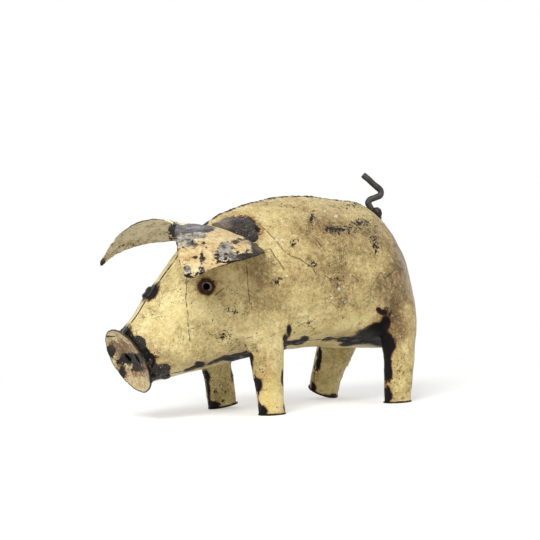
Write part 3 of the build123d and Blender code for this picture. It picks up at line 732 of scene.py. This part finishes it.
def aged_paint():
    """Old enamel on the sheets of the body and of the legs."""
    material, shader, place = new_finish("aged_paint")
    cloud, smear, patch = place.noise(60, 3, 0.55), place.noise(18, 5, 0.7), place.noise(6.5, 4, 0.8, 0.6)
    fine, grain = place.noise(2.4, 4, 0.8, 0.5), place.noise(0.9, 2, 0.6)
    # The stains carry painted shade too: darker over the rump, the back and the upper flank, lighter on the
    # cheek and the front leg.
    stain_and_shade = place.held("grime") + (cloud - 0.5) * 0.9 + (smear - 0.5) * 0.85
    stain_and_shade = stain_and_shade + (patch - 0.5) * 0.75 + (fine - 0.5) * 0.8
    colour = (stain_and_shade + 0.305).ramp(
        (0.0, tone(252, 238, 180)), (0.20, tone(234, 214, 152)), (0.42, tone(204, 181, 124)),
        (0.64, tone(166, 141, 94)), (0.95, tone(100, 76, 46)))
    gilt = place.held("gold") * (1.3 - stain_and_shade).least(1) * 0.55
    colour = colour.over(tone(246, 216, 122), gilt.most(0))
    blush = place.noise(34, 3, 0.6, 0.4).step(0.56, 0.72) * 0.22
    colour = colour.over(tone(206, 150, 108), blush)
    scuff = place.noise(4.5, 5, 0.85, 0.9).step(0.55, 0.61) * (0.15 + stain_and_shade.step(0.0, 0.5) * 0.5)
    colour = colour.over(tone(122, 94, 58), scuff)
    pale = place.noise(3.8, 4, 0.8, 0.9).step(0.57, 0.62) * 0.45
    colour = colour.over(tone(248, 236, 190), pale)
    bent = wobbled(place, 30, 3)
    lines = streaks(bent, 14, 30, 0.6, 0.62).most(streaks(bent, -38, 24, 0.5, 0.63))
    lines = lines.most(streaks(bent, 78, 34, 0.5, 0.63))
    lines = lines * (place.noise(21, 3) + stain_and_shade * 0.06).step(0.53, 0.62) * 0.6
    pixel = pixel_of(wobbled(place, 7, 3))
    scratch_and_crease_shade = None
    for line in scratch_and_crease_lines:
        one = from_line(pixel, line).step(0.8, 0.3)
        scratch_and_crease_shade = one if scratch_and_crease_shade is None else scratch_and_crease_shade.most(one)
    scratch_and_crease_shade = scratch_and_crease_shade * place.noise(6, 2).step(0.34, 0.48) * 0.75
    # Dark scratches, and painted shade along the crease above the front leg.
    colour = colour.over(tone(92, 72, 48), lines.most(scratch_and_crease_shade))
    worn = place.held("chips") * 0.21 + (place.noise(20, 3) - 0.5) * 0.16
    chips = (place.noise(3.4, 3, 0.75, 0.3) + worn).step(0.67, 0.69)
    pits = (place.noise(1.5, 2, 0.7) + worn * 0.5).step(0.655, 0.69) * 0.8
    chips = chips.most(pits)
    colour = colour.over(tone(40, 36, 34), chips)
    clean = place.noise(2.0, 2, 0.6).step(0.70, 0.74) * place.noise(30, 2).step(0.45, 0.6)
    clean = clean.most((place.held("fleck") + (fine - 0.5)).step(0.45, 0.6))
    colour = colour.over(tone(226, 230, 230), clean * 0.8)
    colour, charred = scorched(colour, place)
    rim = place.held("edge") + (fine - 0.5) * 1.2
    # Painted highlight: a pale line just inside each edge of the sheet, where the edge would catch the light.
    colour = colour.over(tone(250, 232, 170), rim.step(2.4, 1.6) * 0.30 * (1 - charred))
    broken = place.noise(8, 3).step(0.40, 0.54) * 0.8 + 0.12
    colour = colour.over(soot, rim.step(1.1, 0.5) * broken)
    rough = 0.33 + (smear - 0.5) * 0.6 + (fine - 0.5) * 0.3 + chips * 0.2 + charred * 0.15
    height = place.noise(14, 3, 0.5) * 1.8 + patch * 0.6 + fine * 0.45 + grain * 0.12
    height = height - chips * 0.5 - lines * 0.4 - scratch_and_crease_shade * 0.4 + charred * fine
    feed(shader, colour, rough, height, 0.9)
    return material


paint = aged_paint()
for node, field in fields.items():
    points, faces, edge = cut_out(field)
    worn = wear(points, node == "right_side_panel")
    made_piece(node, points, faces, paint, "aged_paint", sheet, edge=edge, **worn)

# Ears
# Two leaves cut from the same drum, domed with the hammer and welded to the head. The heat has
# lifted much of their paint: bare grey steel shows between sharp-edged flakes, with rust freckles.
# The way in which each ear faces.
ear_normals = {"left_ear": (0.196, -0.432, 0.880), "right_ear": (0.279, 0.376, 0.884)}
ear_grain, ear_smoothing = 0.75, 3
# Unevenness across the sheet and along its edges: lump size, seed and reach.
ear_beating = ((17, 3, 0.9), (7, 4, 0.35))
ear_tatters = ((4.5, 5, 0.7), (4.5, 6, 0.7), (4.5, 7, 0.7))
far_ear_bare = -0.35
rim_steps = 120
# Soft spots as on the sheets: bare steel, rust freckles and soot.
bare_marks = (
    (186, 237, 9, 6, 1.5), (200, 234, 6, 4, 1.2), (188, 244, 8, 4, 0.9), (176, 240, 4, 10, 0.5),
    (205, 236, 5, 6, 0.6), (225, 246, 7, 6, 1.5), (221, 255, 6, 6, 1.4), (228, 256, 10, 5, 1.2),
    (244, 258, 12, 4, 1.3), (254, 246, 9, 6, 1.5), (237, 249, 6, 3, 0.5), (188, 271, 4, 7, 1.2),
    (201, 270, 5, 4, 1.1), (202, 258, 3, 6, 1.1), (196, 228, 12, 3, 0.8), (186, 257, 9, 5, -1.2),
    (212, 252, 5, 14, -1.3), (214, 240, 6, 6, -0.9), (218, 233, 12, 5, -1.4), (233, 240, 8, 3, -0.8),
    (246, 249, 5, 4, -1.6), (236, 250, 5, 2.5, -0.8), (214, 268, 8, 4, -1.2), (196, 264, 4, 5, -0.6))
freckle_marks = (
    (192.5, 242, 1.4, 2.5, 1.4), (195, 257, 2.5, 1.6, 1.0), (203.5, 243, 2, 2, 1.2),
    (206, 247.5, 1.3, 1.3, 1.0), (202, 256, 2.4, 5, 1.2), (235, 242, 3.4, 2.2, 1.5),
    (226, 254, 2.4, 1.8, 1.3), (238, 252.5, 2.0, 2.0, 1.1), (247, 250.5, 1.8, 1.8, 1.1),
    (244, 255, 2.4, 2.4, 1.4), (226, 259, 3, 2.0, 1.0), (201, 269, 3, 2.4, 0.8), (195, 258, 2, 2, 0.8),
    (232, 262, 5, 1.4, 0.9))
dim_marks = (
    (182, 229, 9, 3.4, 1.9), (198, 227, 9, 4.0, 1.9), (207, 229, 7, 2.6, 1.3), (217, 256, 4, 5, 0.6),
    (258, 247, 6, 6, 1.8), (248, 256, 11, 2.6, 1.4), (230, 262, 12, 1.6, 1.0), (202, 257, 3, 5, 0.4),
    (200, 273, 8, 2.5, 0.6), (188, 275, 5, 3, 0.6), (237, 241, 4, 2, 0.5), (173, 232, 5, 12, 0.5),
    (103, 266, 4, 6, 0.8), (150, 246, 40, 3, 0.25), (245, 239, 8, 2, 0.5))


def beaten(points, rows):
    """Unevenness at points, from rows of lump size, seed and reach, all in millimetres."""
    return sum(lumps(points, size, seed) * reach for size, seed, reach in rows)


def torn(points, rows):
    """Unevenness along x, y and z at points, with one row for each."""
    return np.stack([beaten(points, (row,)) for row in rows], -1)


def rim_distance(points, across, above):
    """How far inside the outline of a flat or domed piece its points lie, seen square on."""
    flat = np.stack([points @ across, points @ above], -1)
    flat -= (flat.min(0) + flat.max(0)) / 2
    turn = (np.arctan2(flat[:, 1], flat[:, 0]) / (2 * math.pi)) % 1 * rim_steps
    reach = np.zeros(rim_steps)
    np.maximum.at(reach, turn.astype(int), np.hypot(*flat.T))
    return np.interp(turn, np.arange(rim_steps) + 0.5, reach, period=rim_steps) - np.hypot(*flat.T)


def scorched_paint():
    """Flaking enamel over bare heat-greyed steel."""
    material, shader, place = new_finish("scorched_paint")
    smear, fine, grain = place.noise(9, 5, 0.65), place.noise(2.4, 4, 0.7), place.noise(0.8, 2, 0.6)
    mottled = smear + (fine - 0.5) * 0.5
    flake = mottled.ramp((0.3, tone(240, 226, 176)), (0.48, tone(226, 200, 148)), (0.68, tone(196, 158, 102)))
    bleached = mottled.ramp(
        (0.3, tone(255, 246, 218)), (0.52, tone(236, 222, 184)), (0.7, tone(150, 130, 92)))
    colour = flake.over(bleached, place.held("dull"))
    crust = place.noise(2.8, 4, 0.8, 0.6)
    browned = (place.held("brown") + (smear - 0.5) * 1.6 + (crust - 0.5) * 4).step(0.62, 0.85)
    colour = colour.over(tone(122, 80, 46), browned * 0.8)
    bare = (place.held("bare") + (smear - 0.5) * 2.4 + (fine - 0.5) * 2.4).step(0.42, 0.48)
    metal = (fine * 0.4 + place.noise(9, 3, 0.6) * 0.6).ramp(
        (0.36, tone(222, 216, 204)), (0.47, tone(168, 160, 146)), (0.54, tone(108, 101, 88)),
        (0.62, tone(54, 50, 42)))
    colour = colour.over(metal, bare)
    freckle = (place.held("freckle") + (fine - 0.5) * 3.6).step(0.5, 0.58)
    colour = colour.over(tone(66, 42, 32), freckle)
    speck = (place.noise(1.5, 3, 0.7) + place.held("brown") * 0.05).step(0.61, 0.66)
    colour = colour.over(tone(60, 44, 32), speck * 0.8)
    # Dark spots: soot, and on the snout disc painted shade as well.
    dim = (place.held("dim") + (smear - 0.5) * 1.3 + (fine - 0.5) * 1.6).step(0.30, 0.42)
    shade = (smear * 0.5 + fine * 0.5).ramp(
        (0.42, tone(17, 16, 15)), (0.55, tone(46, 36, 28)), (0.66, tone(96, 78, 56)))
    colour = colour.over(shade, dim)
    rim = place.held("edge") + (fine - 0.5) * 1.6 + (smear - 0.5) * 2.0
    colour = colour.over(soot, rim.step(1.9, 0.7) * 0.9)
    height = place.noise(7, 3, 0.55) * 0.9 + fine * 0.3 + grain * 0.1 - bare * 0.35 + dim * fine * 0.4
    feed(shader, colour, 0.46 - bare * 0.12 + (fine - 0.5) * 0.3, height, 0.7, bare * 0.55)
    return material


flaking = scorched_paint()
for node, normal in ear_normals.items():
    points, _, faces = remeshed([node_mesh(node)], ear_grain, ear_smoothing)
    normal = np.array(normal) / np.linalg.norm(normal)
    ragged = torn(points, ear_tatters)
    ragged -= np.outer(ragged @ normal, normal)
    points = points + np.outer(beaten(points, ear_beating), normal) + ragged
    far = node == "right_ear"
    beside = np.cross(normal, (0, 0, 1)) / np.linalg.norm(np.cross(normal, (0, 0, 1)))
    made_piece(node, points, faces, flaking, "scorched_paint", dull=float(far), dim=marked(points, dim_marks),
               bare=far_ear_bare if far else marked(points, bare_marks),
               freckle=0.0 if far else marked(points, freckle_marks),
               edge=rim_distance(points, beside, np.cross(beside, normal)))

# Snout disc
# A round of the same sheet, hammered hollow and pierced for the nostrils, welded on in front of
# the head. The CAD's disc is flat, and the photograph shows this one hollow and turned a little.
# The CAD's disc: its middle and how far it looks down.
flat_centre, flat_tilt = np.array((19.1, 0, 56.6)), math.radians(30.5)
flat_forward = np.array((-math.cos(flat_tilt), 0, -math.sin(flat_tilt)))
flat_up = np.array((-math.sin(flat_tilt), 0, math.cos(flat_tilt)))
# The nostrils come this share closer together, and down to the middle of the hollow.
nostril_closing, nostril_shift = 0.10, 5.2
disc_grain, disc_smoothing = 0.7, 2
disc_beating = ((15, 8, 0.6), (6, 9, 0.5), (6, 10, 0.5))
# Dark spots on the disc: soot, and painted shade in the middle of the hollow by the nostrils and in the
# crease along its top.
snout_soot_and_shade_marks = (
    (110.5, 351, 4.5, 5.5, 1.6), (127, 358.5, 6.5, 5, 1.7), (138, 360, 5, 6, 1.7),
    (118, 362, 2, 2.4, 1.3), (122, 374, 3, 7, 1.4), (139, 369, 9, 3, 0.8), (110, 336.3, 6, 0.8, 1.0),
    (150.5, 376, 2.5, 12, 1.0), (105, 342, 1.6, 6, 0.7), (140, 385, 8, 7, -0.8), (114, 342, 8, 3, -0.3),
    (130, 382, 8, 6, -0.3))
snout_brown_marks = (
    (118, 350, 10, 12, 0.9), (130, 348, 9, 8, 0.9), (140, 369, 12, 6, 1.0), (120, 368, 7, 10, 0.9),
    (146, 362, 6, 12, 0.8), (134, 376, 14, 4, 0.4), (112, 344, 10, 4, 0.5))
snout_bare_marks = ((128, 359, 7, 5, 0.4), (109, 353, 4, 6, 0.4), (138, 384, 12, 10, -1.0))


def hollowed(points, share):
    """Points on the CAD's flat disc, moved to the hammered hollow that the photograph shows."""
    offset = points - flat_centre
    beside, above = offset[:, 1], offset @ flat_up
    front = offset @ flat_forward
    out = np.clip(1 - (beside ** 2 + above ** 2) / snout_radius ** 2, 0, 1)
    beside = beside * (1 - nostril_closing * out)
    above = above - nostril_shift * out
    front = front - snout_hollow * out
    moved = snout_centre + np.outer(beside, snout_side) + np.outer(above, snout_up)
    moved += np.outer(front, snout_forward)
    return points + (moved - points) * np.reshape(share, (-1, 1))


points, _, faces = remeshed([node_mesh("snout_disc")], disc_grain, disc_smoothing)
points = hollowed(points + torn(points, disc_beating), 1)
made_piece("snout_disc", points, faces, flaking, "scorched_paint", dull=0.25,
           bare=marked(points, snout_bare_marks) - 0.3, dim=marked(points, snout_soot_and_shade_marks) - 0.1,
           brown=marked(points, snout_brown_marks), edge=rim_distance(points, snout_side, snout_up))

# Eye rings and soles
# Steel washers, burnt blue-black by the torch, round the pierced eyes, and the small plates that
# close the feet. The plates keep the CAD's shape.
ring_grain, ring_smoothing = 0.4, 3
ring_pitting, ring_shrink = ((2.6, 2, 0.25),), 0.1
# A painted highlight lies on the lip at the hole, full to the first distance from it and gone from the
# second.
highlight_full_to, highlight_gone_from = 0.4, 0.9


def burnt_steel():
    """Steel browned and blackened by the torch, with a painted highlight on the lip round an eye hole."""
    material, shader, place = new_finish("burnt_steel")
    smear, fine = place.noise(5, 4, 0.65), place.noise(1.1, 3, 0.65)
    colour = (smear * 0.7 + fine * 0.3).ramp(
        (0.3, tone(38, 28, 24)), (0.52, tone(58, 40, 30)), (0.7, tone(96, 62, 40)))
    # Painted highlight on the lip round the eye hole, broken up.
    lip = place.held("lip") * place.noise(4, 2).step(0.40, 0.55)
    colour = colour.over(tone(150, 146, 140), lip)
    feed(shader, colour, 0.38 + fine * 0.3, smear + fine * 0.4, 0.5, fine * 0.4)
    return material


burnt = burnt_steel()
for node in ("left_eye_ring", "right_eye_ring"):
    points, normals, faces = remeshed([node_mesh(node)], ring_grain, ring_smoothing)
    points = points + normals * (beaten(points, ring_pitting) - ring_shrink)[:, None]
    out = np.hypot(points[:, 0] - eye_place[0], points[:, 2] - eye_place[1]) - eye_hole_radius
    lip = np.clip((highlight_gone_from - np.abs(out)) / (highlight_gone_from - highlight_full_to), 0, 1)
    made_piece(node, points, faces, burnt, "burnt_steel", lip=lip)
for name in legs:
    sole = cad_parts[name + "_sole"]
    sole.data.materials.clear()
    sole.data.materials.append(burnt)

# Tail
# A bent steel rod, blackened by the heat and a little rough with scale. It stands in its weld at
# the top of the rump.
rod_grain, rod_smoothing = 0.6, 2
rod_scale, rod_swell = ((6, 2, 0.4),), 0.65


def blackened_rod():
    """Mill scale and soot on a round rod."""
    material, shader, place = new_finish("blackened_rod", 0.45)
    smear, fine = place.noise(6, 4, 0.6), place.noise(1.2, 3, 0.65)
    colour = (smear * 0.6 + fine * 0.4).ramp(
        (0.32, tone(40, 38, 37)), (0.55, tone(66, 63, 61)), (0.72, tone(104, 98, 92)))
    feed(shader, colour, 0.36 + fine * 0.25, smear * 0.8 + fine * 0.4, 0.6, fine * 0.8)
    return material


points, normals, faces = remeshed([node_mesh("tail_rod")], rod_grain, rod_smoothing)
points = points + normals * (beaten(points, rod_scale) + rod_swell)[:, None]
made_piece("tail_rod", points, faces, blackened_rod(), "blackened_rod")

# Weld metal
# Stick-weld puddles run over one another, black with slag and a little shiny. Each bead of the
# CAD is a row of pebbles here, melted together, and those on a seam are sunk into the skin.
weld_grain, weld_smoothing, ear_weld_smoothing = 0.65, 1, 5
# How high and how wide the puddles of each kind run, as shares of the CAD's beads, and whether
# they sit on the skin. The small beads of the ears are lost in their big puddles.
puddle_of_weld = {
    "spine": (1.0, 1.15, True), "forehead": (0.9, 1.0, True), "jaw": (0.8, 1.0, True),
    "belly": (0.7, 0.95, True), "leg": (0.7, 0.8, True), "snout": (1.0, 1.0, False),
    "tail": (1.15, 1.1, False)}
# Heavier puddles and spatter seen in the photograph: pixel, and radius in millimetres.
big_puddles = {
    "ear": ((228, 223, 9), (236, 226, 12), (244, 230, 12), (250, 236, 9)),
    "snout": ((137, 344, 9), (130, 337, 4), (144, 354, 3.5), (148, 361, 4), (155, 369, 6), (163, 370, 8),
              (156, 376, 6), (166, 377, 5), (155, 356, 0.9), (158, 352, 0.7), (151, 357, 0.8),
              (170, 363, 0.7))}
puddle_height = 0.42
# No pebble of a seam lies lower than this, so that none pokes out under a sole.
lowest_pebble = 12.0
# A bead that reaches this far to its sides gets puddles of one size, and a slim one its own.
broad_bead, broad_puddle, slim_share, puddle_overlap = 6, 5.5, 0.85, 2.2
slimmest, fattest, bead_end = 0.35, 1.35, 0.86
# Thin runs between beads: their width, the widest gap they bridge and where they start and end.
link_width = {"spine": 1.5, "leg": 1.2, "belly": 1.6, "jaw": 1.4}
link_reach, link_step, link_start, link_end = 18.0, 1.6, 0.2, 0.85
link_shape = np.array((1.2, 1.0, 0.45))
# A bead longer than this is a domed pad, and keeps its form a little smaller.
dome_length, dome_share = 30, 0.92
# The snout's weld follows the disc's hollow, less with depth, and stays behind its back.
snout_weld_depth, disc_back = 16.0, 2.6
weld_lumps, weld_shrink, ear_weld_share = ((3.2, 13, 0.45), (1.4, 14, 0.18)), 0.1, 0.5
# The welds of the legs were painted over, but for what was burnt since.
leg_paint, other_paint, burnt_off = 1.0, -2.0, 1.6
# Lighter spots on the weld, each a pixel, two radii and a strength: dust, and a painted sheen on the upper
# left of the ear's weld pad and on the weld dome behind the snout.
dust_and_sheen_marks = ((222, 224, 12, 7, 1.2), (214, 222, 6, 5, 0.6), (138, 345, 4, 3, 0.5))
skin_tree = BVHTree.FromPolygons([tuple(point) for point in skin_points], skin_faces)
chance = np.random.default_rng(11)


def weld_metal():
    """Black slag on lumpy weld, with brown dust, a painted sheen and a few clean glints."""
    material, shader, place = new_finish("weld_metal", 0.35)
    smear, fine, grain = place.noise(6, 4, 0.65), place.noise(1.6, 4, 0.7), place.noise(0.6, 2, 0.6)
    colour = (smear * 0.75 + fine * 0.25).ramp(
        (0.25, tone(20, 18, 17)), (0.5, tone(38, 33, 30)), (0.66, tone(64, 52, 42)), (0.8, tone(104, 74, 48)))
    ring = place.held("ripple") * 3.2 + fine * 3
    ring = ring.sum("SINE", ring) * 0.5 + 0.5
    colour = colour.over(tone(96, 84, 74), ring.step(0.75, 1.0) * 0.35)
    # Dust, and a painted sheen where the marks lie.
    dust = (place.held("dust") + (smear - 0.5) * 0.9).step(0.3, 1.0)
    colour = colour.over(tone(122, 108, 90), dust * 0.75)
    painted = (place.held("painted") + (smear - 0.5) * 1.5 + (fine - 0.5)).step(0.35, 0.6)
    colour = colour.over(tone(206, 184, 134), painted * 0.9)
    glint = place.noise(1.5, 3, 0.7).step(0.60, 0.66)
    colour = colour.over(tone(176, 170, 164), glint * 0.6)
    feed(shader, colour, 0.22 + smear * 0.4 - glint * 0.1 + painted * 0.2,
         fine + grain * 0.3 + ring * 0.35, 1.1, (0.35 + glint * 0.5) * (1 - painted))
    return material


ball = bpy.data.meshes.new("ball")
ball_form = bmesh.new()
bmesh.ops.create_icosphere(ball_form, subdivisions=2, radius=1.0)
ball_form.to_mesh(ball)
ball_form.free()
ball_points = np.array([tuple(vertex.co) for vertex in ball.vertices])
ball_faces = [tuple(face.vertices) for face in ball.polygons]


def islands(points, faces):
    """The separate closed forms of a mesh."""
    leader = list(range(len(points)))

    def top(index):
        while leader[index] != index:
            leader[index] = leader[leader[index]]
            index = leader[index]
        return index

    for face in faces:
        for corner in face[1:]:
            leader[top(corner)] = top(face[0])
    groups = {}
    for face in faces:
        groups.setdefault(top(face[0]), []).append(face)
    for group in groups.values():
        used = sorted({corner for face in group for corner in face})
        number = {corner: index for index, corner in enumerate(used)}
        yield points[used], [tuple(number[corner] for corner in face) for face in group]


def pebble(centre, axes, radii):
    """One rounded lump, as points and faces."""
    return centre + (ball_points * radii) @ axes, ball_faces


def on_skin(point):
    """Nearest place on the skin and three directions there, the last one outwards."""
    spot, normal, _, _ = skin_tree.find_nearest(Vector(point))
    first = normal.orthogonal().normalized()
    return np.array(spot), np.array((first, normal.cross(first), normal))


def puddles(bead, high, wide, seated):
    """Overlapping pebbles that fill one bead of weld, those of a seam sunk into the skin."""
    centre = (bead.min(0) + bead.max(0)) / 2
    axes = np.linalg.svd(bead - bead.mean(0), full_matrices=False)[2]
    reach = np.abs((bead - centre) @ axes.T).max(0)
    broad = reach[1] > broad_bead
    size = broad_puddle if broad else reach[1] * slim_share
    count = max(3, int(round(puddle_overlap * reach[0] * reach[1] / size ** 2)))
    swell = chance.uniform(slimmest, fattest)
    for step in range(count):
        across = (2 * (step + 0.5) / count - 1) * bead_end
        beside = chance.uniform(-1, 1) * max(0, 1 - size / reach[1]) + chance.uniform(-0.2, 0.2)
        lift = chance.uniform(-0.15, 0.05) * reach[2]
        spot = centre + axes[0] * across * reach[0] + axes[1] * beside * reach[1] + axes[2] * lift
        if seated:
            spot = on_skin(spot)[0]
            if spot[2] < lowest_pebble:
                continue
        radii = np.array((size * chance.uniform(0.8, 1.25), size * wide * swell * chance.uniform(0.7, 1.2),
                          reach[2] * high * (1 if broad else swell) * chance.uniform(0.8, 1.1)))
        yield pebble(spot, axes, radii)


def links(beads, wide):
    """Thin runs of weld between beads that follow one another on a seam."""
    centres = [(bead.min(0) + bead.max(0)) / 2 for bead in beads]
    for here in range(len(centres)):
        for after in range(here + 1, len(centres)):
            gap = np.linalg.norm(centres[after] - centres[here])
            if gap > link_reach:
                continue
            for share in np.arange(link_start, link_end, link_step / gap):
                spot, axes = on_skin(centres[here] * (1 - share) + centres[after] * share)
                size = wide * chance.uniform(0.5, 1.0)
                yield pebble(spot, axes, size * link_shape)


weld = weld_metal()
for node in weld_nodes:
    kind = node.split("_")[-2]
    beads = list(islands(*node_mesh(node)))
    hearts = [bead.mean(0) for bead, _ in beads]
    parts = []
    for (bead, bead_faces), heart in zip(beads, hearts):
        dome = max(np.ptp(bead, axis=0)) > dome_length
        if kind in puddle_of_weld and not dome:
            parts += puddles(bead, *puddle_of_weld[kind])
        if dome or kind == "tail":
            parts.append((heart + (bead - heart) * dome_share, bead_faces))
    if kind in link_width:
        parts += links([bead for bead, _ in beads], link_width[kind])
    for u, v, radius in big_puddles.get(kind, ()):
        spot, axes = on_skin(skin_tree.ray_cast(Vector(eye), line_of_sight(u, v))[0])
        if node.startswith("right"):
            spot, axes = on_skin(spot * (1, -1, 1))
        parts.append(pebble(spot, axes, np.array((radius, radius, radius * puddle_height))))
        hearts.append(spot)
    smoothing = ear_weld_smoothing if kind == "ear" else weld_smoothing
    points, normals, faces = remeshed(parts, weld_grain, smoothing)
    if kind == "snout":
        points = hollowed(points, np.clip(1 + (points - flat_centre) @ flat_forward / snout_weld_depth, 0, 1))
    if kind in ("snout", "forehead"):
        back_of_disc, hollow = snout_depth(points)
        points = points - np.outer(np.maximum(hollow + disc_back - back_of_disc, 0), snout_forward)
    uneven = beaten(points, weld_lumps) * (ear_weld_share if kind == "ear" else 1) - weld_shrink
    points = points + normals * uneven[:, None]
    ripple = np.min([np.linalg.norm(points - heart, axis=1) for heart in hearts], axis=0)
    painted = (leg_paint if kind == "leg" else other_paint) - marked(points, scorch_marks) * burnt_off
    made_piece(node, points, faces, weld, "weld_metal", ripple=ripple, dust=marked(points, dust_and_sheen_marks),
               painted=painted)

# Size
# The box of the CAD part and that of the visible pieces, lowest and highest corner of each.
[[list(corner) for corner in box] for box in (cad_box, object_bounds())]
